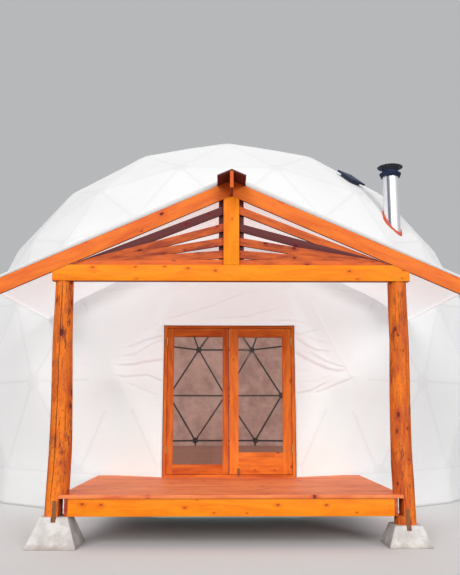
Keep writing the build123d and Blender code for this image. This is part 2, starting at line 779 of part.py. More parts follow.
cap_top = FLUE_TOP + COLLAR_CAP_T
lip_low = FLUE_TOP - COLLAR_LIP_T
hat = upright(COLLAR_R, FLUE_TOP - COLLAR_H, cap_top) + upright(COLLAR_R + COLLAR_LIP, lip_low, FLUE_TOP)
hat -= upright(FLUE_R, FLUE_TOP - COLLAR_H, FLUE_TOP)
hat -= upright(FLUE_R - FLUE_WALL, FLUE_TOP, cap_top)
lid_z = cap_top + HAT_GAP
standing = (Align.CENTER, Align.CENTER, Align.MIN)
for quarter in range(4):
    leg_at = flue_foot + polar(FLUE_R + HAT_LEG_OUT, quarter * 90 + 45, 0)
    hat += Pos(leg_at.X, leg_at.Y, cap_top) * Cylinder(HAT_LEG_R, HAT_GAP, align=standing)
hat += Pos(flue_foot.X, flue_foot.Y, lid_z) * Cone(HAT_R, HAT_TOP_R, HAT_RISE, align=standing)
parts["flue_hat"] = hat.solid()

vent_plane = facet_towards(looking(VENT_AZIMUTH, VENT_ELEVATION))[1]
parts["roof_vent"] = extrude(vent_plane * RectangleRounded(VENT_CURB, VENT_CURB, VENT_CURB_CORNER),
                              amount=VENT_CURB_H)
panel_shape = RectangleRounded(VENT_PANEL, VENT_PANEL, VENT_PANEL_CORNER)
parts["solar_panel"] = extrude(vent_plane.offset(VENT_CURB_H) * panel_shape, amount=VENT_PANEL_T)


# The whole house is set with its origin under the middle of its outline

box = Compound(children=[Compound(children=p.solids()) for p in parts.values()]).bounding_box()
shift = Pos(-(box.min.X + box.max.X) / 2, -(box.min.Y + box.max.Y) / 2, -box.min.Z)

os.makedirs("parts", exist_ok=True)
for name, piece in parts.items():
    solids = [shift * s for s in piece.solids()]
    whole = solids[0] if len(solids) == 1 else Compound(children=solids)
    export_step(whole, f"parts/{name}.step")

print("shift", tuple(round(v, 3) for v in shift.position), "nodes", len(parts))
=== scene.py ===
# A fabric-covered geodesic dome house with a cedar porch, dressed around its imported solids.
# Lengths are metres. X is to the right of someone facing the door, Y goes into the house, Z is up.

import math
import random

import bmesh
import bpy
import numpy as np
from mathutils import Matrix, Vector, kdtree, noise
from mathutils.geometry import intersect_point_line


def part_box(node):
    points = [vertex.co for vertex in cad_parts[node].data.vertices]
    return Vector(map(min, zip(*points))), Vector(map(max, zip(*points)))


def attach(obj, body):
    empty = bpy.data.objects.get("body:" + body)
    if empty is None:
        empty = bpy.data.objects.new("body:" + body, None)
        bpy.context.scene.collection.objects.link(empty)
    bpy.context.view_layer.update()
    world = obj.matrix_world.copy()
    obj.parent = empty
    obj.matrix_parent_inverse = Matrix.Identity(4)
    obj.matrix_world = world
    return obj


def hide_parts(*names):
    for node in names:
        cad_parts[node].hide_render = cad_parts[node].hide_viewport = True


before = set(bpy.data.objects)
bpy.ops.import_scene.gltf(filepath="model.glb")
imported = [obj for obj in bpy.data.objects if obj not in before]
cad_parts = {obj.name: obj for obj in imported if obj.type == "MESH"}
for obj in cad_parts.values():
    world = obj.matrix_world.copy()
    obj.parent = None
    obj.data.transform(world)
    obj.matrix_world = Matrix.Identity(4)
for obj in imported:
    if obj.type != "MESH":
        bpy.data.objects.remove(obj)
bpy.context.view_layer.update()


# Pier blocks
# Two cast concrete blocks, splayed like a truncated pyramid, carry the log posts. Their edges are
# worn round and their faces are pitted, with splashed earth near the ground.

class Socket:
    """A shader socket that adds Math nodes when it is used in a formula."""

    def __init__(self, finish, link):
        self.finish = finish
        self.link = link

    def math(self, operation, *others):
        return self.finish.node("ShaderNodeMath", {"operation": operation}, dict(enumerate([self, *others])))

    def __add__(self, other):
        return self.math("ADD", other)

    def __sub__(self, other):
        return self.math("SUBTRACT", other)

    def __mul__(self, other):
        return self.math("MULTIPLY", other)

    def __truediv__(self, other):
        return self.math("DIVIDE", other)

    def between(self, low, high):
        """0 below low and 1 above high, smooth between them. It falls instead where low is the larger."""
        settings = {"interpolation_type": "SMOOTHSTEP", "clamp": True}
        sockets = {"Value": self, "From Min": low, "From Max": high}
        return self.finish.node("ShaderNodeMapRange", settings, sockets)


class Finish:
    """A material, built node by node round one Principled shader."""

    def __init__(self, name, **sockets):
        self.material = bpy.data.materials.new(name)
        self.material.use_nodes = True
        self.nodes = self.material.node_tree.nodes
        self.links = self.material.node_tree.links
        self.shader = self.nodes["Principled BSDF"]
        self.set(**sockets)

    def plug(self, socket, value):
        if isinstance(value, Socket):
            self.links.new(value.link, socket)
        elif isinstance(value, tuple) and len(value) == 3 and socket.type == "RGBA":
            socket.default_value = (*value, 1.0)
        else:
            socket.default_value = value

    def set(self, **sockets):
        """Base_Color=... fills the shader's socket called Base Color."""
        for name, value in sockets.items():
            self.plug(self.shader.inputs[name.replace("_", " ")], value)

    def node(self, kind, settings, sockets, output=0):
        made = self.nodes.new(kind)
        for name, value in settings.items():
            setattr(made, name, value)
        for key, value in sockets.items():
            self.plug(made.inputs[key], value)
        return Socket(self, made.outputs[output])

    def place(self):
        return self.node("ShaderNodeTexCoord", {}, {}, "Object")

    def axis(self, vector, letter):
        """The X, Y or Z of a vector."""
        return self.node("ShaderNodeSeparateXYZ", {}, {"Vector": vector}, letter)

    def attribute(self, name, output):
        """What a layer of the mesh holds at each point: its Vector, or its Fac if it is one number."""
        return self.node("ShaderNodeAttribute", {"attribute_name": name}, {}, output)

    def stretched(self, vector, x, y, z):
        return self.node("ShaderNodeVectorMath", {"operation": "MULTIPLY"}, {0: vector, 1: (x, y, z)})

    def cloud(self, vector, scale, detail=3.0, rough=0.5):
        sockets = {"Vector": vector, "Scale": scale, "Detail": detail, "Roughness": rough}
        return self.node("ShaderNodeTexNoise", {}, sockets, "Fac")

    def streaks(self, vector, x, y, z, detail=3.0, rough=0.5):
        """A cloud that is finer along the axes with the larger numbers."""
        return self.cloud(self.stretched(vector, x, y, z), 1.0, detail, rough)

    def mix(self, share, first, second):
        """The first colour where the share is 0 and the second where it is 1."""
        factor, colour_a, colour_b, result = 0, 6, 7, 2
        sockets = {factor: share, colour_a: first, colour_b: second}
        return self.node("ShaderNodeMix", {"data_type": "RGBA"}, sockets, result)

    def bump(self, height, depth):
        sockets = {"Strength": 1.0, "Distance": depth, "Height": height}
        self.set(Normal=self.node("ShaderNodeBump", {}, sockets, "Normal"))


HOUSE = "house"
WELD = 0.0002
FLAT_WITHIN = math.radians(0.5)


def solid_of(node):
    """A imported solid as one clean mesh, with whole flat faces."""
    bm = bmesh.new()
    bm.from_mesh(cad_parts[node].data)
    bmesh.ops.remove_doubles(bm, verts=bm.verts, dist=WELD)
    bmesh.ops.dissolve_limit(bm, angle_limit=FLAT_WITHIN, verts=bm.verts, edges=bm.edges)
    return bm


def ease(bm, width, least=30):
    """Rounds the sharp edges over."""
    sharp = [e for e in bm.edges if e.is_manifold and e.calc_face_angle(0) > math.radians(least)]
    bmesh.ops.bevel(bm, geom=sharp, offset=width, offset_type="OFFSET", segments=2, profile=0.5,
                    affect="EDGES", clamp_overlap=True, material=-1)


def sliced(bm, point, normal, near_side_only=False):
    """Cuts every face that a plane crosses, and can drop what lies beyond the plane."""
    bmesh.ops.bisect_plane(bm, geom=bm.verts[:] + bm.edges[:] + bm.faces[:], dist=1e-5,
                           plane_co=point, plane_no=normal, clear_outer=near_side_only)


def gridded(bm, step, axes):
    """Cuts the mesh by level planes a step apart, so that it can be shaped."""
    for axis in axes:
        low = min(v.co[axis] for v in bm.verts)
        high = max(v.co[axis] for v in bm.verts)
        normal = Vector([float(i == axis) for i in range(3)])
        count = max(1, round((high - low) / step))
        for i in range(1, count):
            sliced(bm, normal * (low + (high - low) * i / count), normal)


def finished(bm, name, finishes, body, nodes=(), smooth=40):
    """Puts a mesh into the scene as a piece that rides on its body, in place of those nodes."""
    for face in bm.faces:
        face.smooth = True
    for edge in bm.edges:
        edge.smooth = edge.calc_face_angle(0) < math.radians(smooth)
    mesh = bpy.data.meshes.new(name)
    bm.to_mesh(mesh)
    bm.free()
    for finish in finishes:
        mesh.materials.append(finish.material)
    piece = bpy.data.objects.new(name, mesh)
    bpy.context.scene.collection.objects.link(piece)
    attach(piece, body)
    if nodes:
        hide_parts(*nodes)
    return piece


def restyled(node, finish):
    """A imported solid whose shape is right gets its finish."""
    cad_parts[node].material_slots[0].material = finish.material


PIER_GRID = 0.035
PIER_ROUNDING = 0.007
PIER_ROUGHNESS = 0.0025
PIER_SOLE = 0.004

concrete = Finish("cast_concrete", Roughness=0.92)
spot = concrete.place()
pits = concrete.cloud(spot, 60.0, 4.0, 0.7)
stains = concrete.cloud(spot, 6.0, 4.0, 0.6)
near_ground = (concrete.axis(spot, "Z") + stains * 0.12).between(0.13, 0.03)
pale = concrete.mix(stains.between(0.35, 0.65), (0.56, 0.53, 0.51), (0.75, 0.72, 0.70))
earthy = concrete.mix(near_ground * 0.6, pale, (0.33, 0.26, 0.20))
concrete.set(Base_Color=concrete.mix(pits.between(0.42, 0.30), earthy, (0.40, 0.38, 0.36)))
concrete.bump(pits + stains * 2.0, 0.004)

for side in ("left", "right"):
    node = f"{side}_pier_block"
    bm = solid_of(node)
    gridded(bm, PIER_GRID, (0, 1, 2))
    ease(bm, PIER_ROUNDING, 50)
    bm.normal_update()
    for v in bm.verts:
        if v.co.z > PIER_SOLE:
            v.co += v.normal * PIER_ROUGHNESS * noise.noise(v.co * 22)
    finished(bm, f"{side}_pier_cast", [concrete], HOUSE, [node], 55)

strap_metal = Finish("rusty_strap", Metallic=0.6, Roughness=0.6)
spangle = strap_metal.cloud(strap_metal.place(), 90.0, 2.0)
rust = strap_metal.mix(spangle.between(0.4, 0.6), (0.22, 0.085, 0.035), (0.32, 0.15, 0.06))
strap_metal.set(Base_Color=rust)
restyled("post_straps", strap_metal)


# Log posts
# Peeled logs, oiled, a little crooked, with knots, long drying cracks and flecks of bark left on.
# A notch at the foot lets the corner of the deck in.

LOG_RINGS = {"left_log_post": (0.131, 0.126, 0.119, 0.112, 0.104),
             "right_log_post": (0.121, 0.119, 0.116, 0.111, 0.106)}
LOG_TONES = {"left_log_post": 0.0, "right_log_post": 0.45}
LOG_SWAY = 0.014
LOG_BENDS = 1.7
LOG_SIDES = 56
LOG_CUTS = 110
NOTCH_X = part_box("deck_boards")[1].x
NOTCH_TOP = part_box("deck_boards")[1].z
NOTCH_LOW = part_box("front_fascia")[0].z
NOTCH_EDGE = 0.0005
NOTCH_MARGIN = 0.009
CRACK_LEAN = 0.0186
CRACK_AT = -0.225


def timber(name, pale, deep, knots=0.5, knot_r=0.012, knot_dark=1.0, mottle=1.0, rough=0.5, contrast=1.0,
           bark=False):
    """Oiled wood. The grain layer holds each point's place in its board: along, across, through.

    The tone layer goes from pale, at 0, to deep, at 1, and past 1.5 to nearly black."""
    wood = Finish(name, Specular_IOR_Level=0.10)
    grain = wood.attribute("grain", "Vector")
    tone = wood.attribute("tone", "Fac")
    knot_settings = {"voronoi_dimensions": "2D", "feature": "F1"}
    knot_sockets = {"Vector": wood.stretched(grain, 3.4, 5.6, 1.0), "Scale": 1.0, "Randomness": 1.0}
    away = wood.node("ShaderNodeTexVoronoi", knot_settings, knot_sockets, "Distance")
    cell = wood.node("ShaderNodeTexVoronoi", knot_settings, knot_sockets, "Color")
    lot = wood.node("ShaderNodeSeparateColor", {}, {"Color": cell}, "Red")
    size = wood.node("ShaderNodeSeparateColor", {}, {"Color": cell}, "Green")
    has_knot = lot.between(1.0 - knots, 1.02 - knots)
    swell = away.between(0.30, 0.0) * has_knot
    drift = wood.streaks(grain, 0.7, 5.0, 5.0)
    rings = ((drift * 34.0 + swell * 3.0).math("SINE") + 1.0) * 0.5
    fibre = wood.streaks(grain, 5.0, 190.0, 190.0, rough=0.7)
    patch = wood.streaks(grain, 1.6 * mottle, 7.0 * mottle, 7.0 * mottle, rough=0.6)
    depth = rings * 0.22 + fibre.between(0.3, 0.7) * 0.28 + patch.between(0.35, 0.7) * 0.36
    depth = (depth + tone * 0.30 - 0.12) * contrast
    colour = wood.mix(depth.between(0.0, 1.0), pale, deep)
    dashes = wood.streaks(grain, 16.0, 120.0, 60.0, 2.0, 0.6).between(0.66, 0.74)
    colour = wood.mix(dashes * 0.5, colour, (deep[0] * 0.45, deep[1] * 0.35, deep[2]))
    colour = wood.mix((tone - 1.5).between(0.0, 1.5), colour, (0.125, 0.040, 0.042))
    ragged = wood.streaks(grain, 34.0, 70.0, 40.0, rough=0.7) * 0.05 - 0.02
    knot_edge = (away + ragged) / (size * 1.15 + 0.25)
    heart = knot_edge.between(knot_r * 6.6, knot_r * 4.2) * has_knot
    halo = knot_edge.between(knot_r * 20.0, knot_r * 5.0) * has_knot
    colour = wood.mix(halo * 0.45, colour, (deep[0] * 0.85, deep[1] * 0.50, deep[2]))
    colour = wood.mix(heart * (size * 0.45 + 0.50) * knot_dark, colour, (0.095, 0.022, 0.026))
    relief = fibre * 0.6 + rings * 0.3 - heart * 0.6
    if bark:
        colour, relief = peeled(wood, grain, colour, relief, deep)
    wood.set(Base_Color=colour, Roughness=fibre * 0.16 + (rough - 0.06) + heart * 0.1)
    wood.bump(relief, 0.0011)
    return wood


def peeled(wood, grain, colour, relief, deep):
    """What a peeled log has besides its grain: grit, patches of inner bark, and drying cracks."""
    grit = wood.streaks(grain, 26.0, 44.0, 1.0, 4.0, 0.75).between(0.52, 0.66)
    colour = wood.mix(grit * 0.60, colour, (deep[0] * 0.70, deep[1] * 0.50, deep[2] * 0.8))
    patch = wood.streaks(grain, 5.0, 17.0, 1.0, 4.0, 0.65)
    where = wood.streaks(grain, 1.3, 4.0, 1.0).between(0.48, 0.64)
    spot = patch.between(0.52, 0.62) * where
    colour = wood.mix(spot * 0.75, colour, (0.16, 0.035, 0.040))
    split = wood.streaks(grain, 1.2, 26.0, 1.0, 2.0)
    reach = wood.streaks(grain, 1.1, 4.0, 1.0).between(0.50, 0.56)
    line = (split - 0.5).math("ABSOLUTE").between(0.010, 0.002) * reach
    up = wood.axis(grain, "X")
    round_log = wood.axis(grain, "Y")
    wobble = wood.streaks(grain, 3.0, 0.0, 0.0) * 0.030
    long_crack = (round_log - up * CRACK_LEAN + wobble - CRACK_AT).math("ABSOLUTE").between(0.0055, 0.0015)
    long_crack = long_crack * up.between(0.25, 0.75) * up.between(2.90, 2.80)
    dark = line.math("MAXIMUM", long_crack)
    colour = wood.mix(dark * 0.9, colour, (0.085, 0.018, 0.016))
    return colour, relief + spot * 0.5 + grit * 0.4 - dark * 5.0


def crooked(radii, share):
    """The log's radius and its drift off plumb, at that share of its height."""
    spot = share * (len(radii) - 1)
    step = min(int(spot), len(radii) - 2)
    radius = radii[step] + (radii[step + 1] - radii[step]) * (spot - step)
    knee = math.sin(step / (len(radii) - 1) * math.pi * LOG_BENDS)
    next_knee = math.sin((step + 1) / (len(radii) - 1) * math.pi * LOG_BENDS)
    return radius, LOG_SWAY * (knee + (next_knee - knee) * (spot - step))


def log_levels(low, high):
    """Heights to cut a log at, evenly apart, with a close pair at each end of its notch."""
    ends = (NOTCH_LOW, NOTCH_TOP)
    even = [low + (high - low) * i / LOG_CUTS for i in range(LOG_CUTS + 1)]
    levels = [z for z in even if z == low or all(abs(z - end) > NOTCH_MARGIN for end in ends)]
    for end in ends:
        if low < end - NOTCH_MARGIN:
            levels += [end - NOTCH_EDGE, end + NOTCH_EDGE]
    return sorted(levels)


log_wood = timber("peeled_log", (0.95, 0.235, 0.020), (0.46, 0.070, 0.028), knots=0.55, knot_r=0.019,
                  rough=0.52, contrast=1.15, bark=True)
for number, (node, radii) in enumerate(LOG_RINGS.items()):
    low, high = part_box(node)
    pier_low, pier_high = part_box(node.replace("log_post", "pier_block"))
    side = 1 if low.x > 0 else -1
    post_x = side * abs(pier_low.x + pier_high.x) / 2
    post_y = (pier_low.y + pier_high.y) / 2
    levels = log_levels(low.z, high.z)
    bm = bmesh.new()
    bmesh.ops.create_circle(bm, segments=LOG_SIDES, radius=1.0)
    for v in bm.verts:
        v.co.z = levels[0]
    rim = bm.edges[:]
    for z in levels[1:]:
        grown = bmesh.ops.extrude_edge_only(bm, edges=rim)["geom"]
        rim = [g for g in grown if isinstance(g, bmesh.types.BMEdge)]
        for v in [g for g in grown if isinstance(g, bmesh.types.BMVert)]:
            v.co.z = z
        rim = [e for e in rim if abs(e.verts[0].co.z - e.verts[1].co.z) < 1e-6]
    grain_layer = bm.loops.layers.float_vector.new("grain")
    tone_layer = bm.faces.layers.float.new("tone")
    middle_r = radii[2]
    for face in bm.faces:
        face[tone_layer] = LOG_TONES[node]
        turns = [math.atan2(loop.vert.co.y, loop.vert.co.x) for loop in face.loops]
        for loop, turn in zip(face.loops, turns):
            if max(turns) - min(turns) > math.pi and turn < 0:
                turn += math.tau
            loop[grain_layer] = (loop.vert.co.z + number * 7.3, turn * middle_r, 0.0)
    for v in bm.verts:
        z = v.co.z
        radius, drift = crooked(radii, (z - low.z) / (high.z - low.z))
        turn = math.atan2(v.co.y, v.co.x)
        outward = Vector((math.cos(turn), math.sin(turn), 0))
        lumps = noise.noise(outward * 1.1 + Vector((0, number * 9, z * 1.3))) * 0.005
        ridges = noise.noise(outward * 5.0 + Vector((3, number * 5, z * 2.2))) * 0.0022
        radius = min(radius - 0.004 + lumps + ridges, radius + 0.002)
        v.co = Vector((post_x - side * drift, post_y, z)) + outward * radius
        if NOTCH_LOW - 0.0002 < z < NOTCH_TOP + 0.0002:
            v.co.x = side * max(abs(v.co.x), NOTCH_X)
    bmesh.ops.holes_fill(bm, edges=[e for e in bm.edges if e.is_boundary], sides=0)
    bmesh.ops.recalc_face_normals(bm, faces=bm.faces)
    finished(bm, node.replace("_post", "_peeled"), [log_wood], HOUSE, [node], 50)


# Porch deck
# Planed cedar boards on joists, with a deep fascia across the front. Each board has its own shade,
# eased edges, and a pair of screws at each joist.

END_GRAIN = 0.9
# The tone for painted shade, nearly black: used on downward faces and in the door's gaps.
PAINTED_SHADE_TONE = 2.4
RAIL_DEEPER = 0.25
SCREW_R = 0.0042
HEAD_H = 0.004
HEAD_PROUD = 0.0006
JOISTS = 9
JOIST_T = 0.038
BOARD_PITCH = 0.145
BOARD_W = 0.140
ROWS_UNSEEN = 4
UP = Vector((0, 0, 1))
FORWARD = Vector((0, -1, 0))


def islands(bm):
    """The separate boards in a mesh, each as its list of faces."""
    bm.faces.index_update()
    seen = [False] * len(bm.faces)
    found = []
    for start in bm.faces:
        if seen[start.index]:
            continue
        seen[start.index] = True
        board = []
        waiting = [start]
        while waiting:
            face = waiting.pop()
            board.append(face)
            for other in (f for edge in face.edges for f in edge.link_faces):
                if not seen[other.index]:
                    seen[other.index] = True
                    waiting.append(other)
        found.append(board)
    return found


def board_order(board):
    """Boards left of the middle first, and from the top down."""
    middle = sum((f.calc_center_median() for f in board), Vector()) / len(board)
    return middle.x > 0, round(-middle.z, 3), round(middle.y, 3)


def lay_grain(bm, seed, run=None, tones=None):
    """Writes the grain and tone layers. Grain runs along each board, or as run(middle of a face) says."""
    grain_layer = bm.loops.layers.float_vector.new("grain")
    tone_layer = bm.faces.layers.float.new("tone")
    draw = random.Random(seed)
    bm.normal_update()
    for number, board in enumerate(sorted(islands(bm), key=board_order)):
        points = np.array([v.co[:] for f in board for v in f.verts])
        axes = [Vector(a) for a in np.linalg.svd(points - points.mean(0), full_matrices=False)[2]]
        shift = Vector([draw.uniform(0, 40) for _ in range(3)])
        own = draw.uniform(0.0, 1.0) if tones is None else tones[number % len(tones)]
        for face in board:
            face[tone_layer] = own
            along = axes
            if run is not None:
                first = Vector(run(face.calc_center_median()))
                upright = first.z != 0
                along = [first, Vector((1, 0, 0)) if upright else UP, Vector((0, 1, 0))]
                face[tone_layer] = own + (0.0 if upright else RAIL_DEEPER)
            if abs(face.normal.dot(along[0])) > 0.8:
                face[tone_layer] += END_GRAIN
            # Faces that look down are toned nearly black: painted shade under the boards.
            if face.normal.z < -0.8 and own < PAINTED_SHADE_TONE:
                face[tone_layer] = PAINTED_SHADE_TONE
            for loop in face.loops:
                loop[grain_layer] = Vector([loop.vert.co.dot(a) for a in along]) + shift


def boards(node, name, finish, seed, slot, edge=0.003, **grain):
    """A packed timber solid, with eased edges and its grain."""
    bm = solid_of(node)
    ease(bm, edge)
    lay_grain(bm, seed, **grain)
    finished(bm, name, [finish], HOUSE, [node])


def studs(name, finish, places, normal, radius):
    """Small round heads of screws or nails, set in the wood."""
    bm = bmesh.new()
    turn = UP.rotation_difference(normal).to_matrix().to_4x4()
    for place in places:
        matrix = Matrix.Translation(place + normal * (HEAD_PROUD - HEAD_H / 2)) @ turn
        bmesh.ops.create_cone(bm, cap_ends=True, segments=10, radius1=radius, radius2=radius * 0.8,
                              depth=HEAD_H, matrix=matrix)
    finished(bm, name, [finish], HOUSE)


deck_wood = timber("deck_cedar", (0.97, 0.300, 0.100), (0.68, 0.108, 0.050), knots=0.30, rough=0.50)
# sunlit_cedar is a brighter copy of the cedar, with painted sunlight, for the fascia, tie beam and king post.
front_wood = timber("sunlit_cedar", (0.97, 0.305, 0.012), (0.88, 0.165, 0.008), knots=0.56, knot_r=0.010,
                    knot_dark=0.65, rough=0.46)
joist_wood = timber("joist_cedar", (0.66, 0.22, 0.06), (0.42, 0.040, 0.020), knots=0.30)
boards("deck_boards", "decking", deck_wood, 11, "deck_cedar", edge=0.004)
boards("deck_joists", "joists", joist_wood, 12, "truss_cedar")
boards("front_fascia", "fascia", front_wood, 13, "truss_cedar", tones=(0.25,))

screw_steel = Finish("screw_steel", Metallic=1.0, Roughness=0.5)
tarnish = screw_steel.cloud(screw_steel.place(), 200.0)
screw_steel.set(Base_Color=screw_steel.mix(tarnish, (0.20, 0.14, 0.10), (0.34, 0.28, 0.24)))

deck_low, deck_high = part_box("deck_boards")
joist_low, joist_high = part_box("deck_joists")
rows = int((deck_high.y - deck_low.y) / BOARD_PITCH) - ROWS_UNSEEN
screw_places = []
for i in range(JOISTS):
    x = joist_low.x + JOIST_T / 2 + (joist_high.x - joist_low.x - JOIST_T) * i / (JOISTS - 1)
    for row in range(rows):
        for share in (0.25, 0.75):
            y = deck_low.y + BOARD_PITCH * row + BOARD_W * share
            screw_places.append(Vector((x, y, deck_high.z)))
studs("deck_screws", screw_steel, screw_places, UP, SCREW_R)


# Gable truss
# A tie beam on the logs, a king post with a nailer behind it, two rafters and a fan of slats
# between them, all of oiled cedar. One slat on each side is nearly black.

SLAT_TONES = (2.7, 0.5, 0.9, 0.6, -0.4, -0.1, 2.7, 0.7, 0.5, 0.2)
NAIL_R = 0.0045

rafter_wood = timber("rafter_cedar", (0.95, 0.235, 0.035), (0.70, 0.11, 0.030), knots=0.34, knot_r=0.014,
                     rough=0.48)
slat_wood = timber("slat_cedar", (0.78, 0.165, 0.038), (0.27, 0.045, 0.030), knots=0.85, knot_r=0.014,
                   mottle=2.2, rough=0.54)

boards("tie_beam", "beam", front_wood, 22, "truss_cedar", edge=0.006, tones=(0.12,))
boards("king_post", "king", front_wood, 23, "truss_cedar", tones=(0.10,))
# The nailer is toned nearly black: painted shade for the shadow behind the king post.
boards("slat_nailer", "nailer", slat_wood, 24, "slat_cedar", tones=(2.8,))
boards("left_rafter", "rafter_left", rafter_wood, 25, "truss_cedar", edge=0.004, tones=(0.5,))
boards("right_rafter", "rafter_right", rafter_wood, 26, "truss_cedar", edge=0.004, tones=(0.25,))
boards("gable_slats", "slats", slat_wood, 27, "slat_cedar", tones=SLAT_TONES)
boards("ridge_board", "ridge", rafter_wood, 28, "truss_cedar", tones=(0.3,))
boards("ridge_cap", "ridge_caps", slat_wood, 29, "slat_cedar", edge=0.002, tones=(2.6,))

beam_low, beam_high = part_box("tie_beam")
under_king = ((-0.045, -0.035), (0.040, -0.030), (-0.030, -0.072), (0.048, -0.078), (0.005, -0.052),
              (-0.050, -0.112))
in_king = [(x, z) for z in (0.05, 0.30, 0.52) for x in (-0.055, 0.055)]
over_logs = [(x, z) for x in (-1.86, -1.80, 1.80, 1.86) for z in (0.045, 0.120)]
nail_places = [Vector((x, beam_low.y, beam_high.z + z)) for x, z in under_king]
nail_places += [Vector((x, beam_low.y, beam_low.z + z)) for x, z in over_logs]
nail_places += [Vector((x, beam_low.y, beam_high.z + z)) for x, z in in_king]
studs("truss_nails", screw_steel, nail_places, FORWARD, NAIL_R)


# Dome frame and platform
# Dark square steel tubes run between flat hubs inside the cover. The platform under them is a timber
# rim on the ground, with boards laid on it.

FLOOR_BOARD = 0.18
MIDDLE_BOARD = 100

tube_steel = Finish("frame_tube", Metallic=0.7, Roughness=0.5)
dull = tube_steel.cloud(tube_steel.place(), 14.0, 4.0)
tube_steel.set(Base_Color=tube_steel.mix(dull.between(0.3, 0.7), (0.055, 0.052, 0.055), (0.12, 0.115, 0.115)))
for node in ("frame_struts_crown", "frame_struts_wall", "frame_hubs"):
    restyled(node, tube_steel)

floor_wood = timber("floor_boards", (0.88, 0.66, 0.55), (0.66, 0.46, 0.37), knots=0.1, rough=0.5)
bm = solid_of("platform_floor")
gridded(bm, FLOOR_BOARD, (0,))
lay_grain(bm, 31, run=lambda c: (0, 1, 0))
tone_layer = bm.faces.layers.float["tone"]
draw = random.Random(32)
shades = [draw.random() for _ in range(2 * MIDDLE_BOARD)]
for face in bm.faces:
    face[tone_layer] = shades[int(face.calc_center_median().x / FLOOR_BOARD + MIDDLE_BOARD)]
finished(bm, "floor_planks", [floor_wood], HOUSE, ["platform_floor"])
boards("platform_rim", "rim_planks", joist_wood, 33, "platform_timber", run=lambda c: (1, 0, 0))
boards("door_posts", "rough_posts", joist_wood, 34, "platform_timber", run=lambda c: (0, 0, 1))


# Cover
# One coated canvas cover is stretched over the frame, down past the platform to the ground, with a
# brown liner inside it. It lies flat on the tubes' triangles, soft at their edges, and tension
# folds run from the sides of the doorway to the hubs that pull it tight.

SPHERE_R = 5.035
CENTRE_UP = 1.334
FLOOR_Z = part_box("platform_floor")[1].z
COVER_BACK = max(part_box(f"wall_cover_{k}")[1].y for k in range(1, 6))
CENTRE = Vector((0, COVER_BACK - SPHERE_R, FLOOR_Z + CENTRE_UP))
BASE_R = math.sqrt(SPHERE_R ** 2 - CENTRE_UP ** 2)
CUT = -CENTRE_UP / SPHERE_R
NEAR_CUT = 0.05
NET_CUTS = 3
NET_TURN = math.radians(18)
HALF_STEP = 9
ROW_ABOVE = 0.26
DOOR_AZIMUTH = 270
DOOR_LOW, DOOR_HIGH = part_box("door_frame")
FRAME_PROUD = 0.010
COVER_Y = DOOR_LOW.y + FRAME_PROUD
COVER_T = 0.005
COVER_CUTS = 11
FOLD_DEPTH = 0.004
HELD_BELOW = FLOOR_Z + 0.03
# The part of the front wall that is cut finer, for its creases
FRONT_CUTS = 7
FRONT_X = 1.95
FRONT_Y = CENTRE.y - 3.4
FRONT_LOW = 1.52
FRONT_HIGH = 3.10


def canvas(name, colour, shade, **sockets):
    """Coated canvas: nearly smooth, with soft wrinkles, mottled painted shade, dark seam lines with faint
    painted shade beside them, and painted shade and highlight along the front wall's creases.
    """
    cloth = Finish(name, Roughness=0.62, Specular_IOR_Level=0.3, **sockets)
    spot = cloth.place()
    creases = cloth.attribute("crease", "Vector")
    # Painted shade along the valley of each crease, and a painted highlight just above it.
    crease_painted_shade = cloth.axis(creases, "X").between(7.5, 8.9)
    crease_painted_highlight = cloth.axis(creases, "Y").between(7.3, 8.9)
    soft = cloth.cloud(cloth.stretched(spot, 1.0, 1.0, 0.55), 1.3, 3.0, 0.55)
    crease = cloth.cloud(cloth.stretched(spot, 2.0, 2.0, 5.0), 1.4, 4.0, 0.6)
    ridge = (crease - 0.5).math("ABSOLUTE").between(0.09, 0.0)
    weave = cloth.cloud(spot, 420.0, 1.0)
    # Painted shade: soft mottled patches and the lines of small wrinkles are darkened toward the shade
    # colour.
    painted_shading = cloth.mix(soft.between(0.35, 0.7) * 0.45 + ridge * 0.12, colour, shade)
    # Along each seam: a thin darker line, the seam itself, and a faint wider band of painted shade where a
    # tube lies under the cover.
    near_seam = cloth.attribute("near_seam", "Fac")
    seam = near_seam.between(0.974, 0.990) + near_seam.between(0.90, 0.97) * 0.16
    painted_shading = cloth.mix(seam * 0.22, painted_shading, (shade[0] * 0.78, shade[1] * 0.76, shade[2] * 0.77))
    painted_shading = cloth.mix(crease_painted_highlight * 0.7, painted_shading, (0.92, 0.92, 0.93))
    cloth.set(Base_Color=cloth.mix(crease_painted_shade * 0.42, painted_shading, (0.56, 0.44, 0.43)))
    cloth.bump(soft * 0.5 + crease * 0.4 + ridge * 0.10 + weave * 0.02, FOLD_DEPTH)
    return cloth


def vert_near(bm, place):
    return min(bm.verts, key=lambda v: (v.co - place).length)


def around(azimuth, unit_z):
    """A place on the sphere. Its height over the centre is a share of the radius."""
    flat_r = math.sqrt(1 - unit_z ** 2) * SPHERE_R
    a = math.radians(azimuth)
    return CENTRE + Vector((math.cos(a) * flat_r, math.sin(a) * flat_r, unit_z * SPHERE_R))


def foot_at(azimuth):
    """A place where the net ends, level with the platform's floor."""
    a = math.radians(azimuth)
    return Vector((math.cos(a) * BASE_R, CENTRE.y + math.sin(a) * BASE_R, FLOOR_Z))


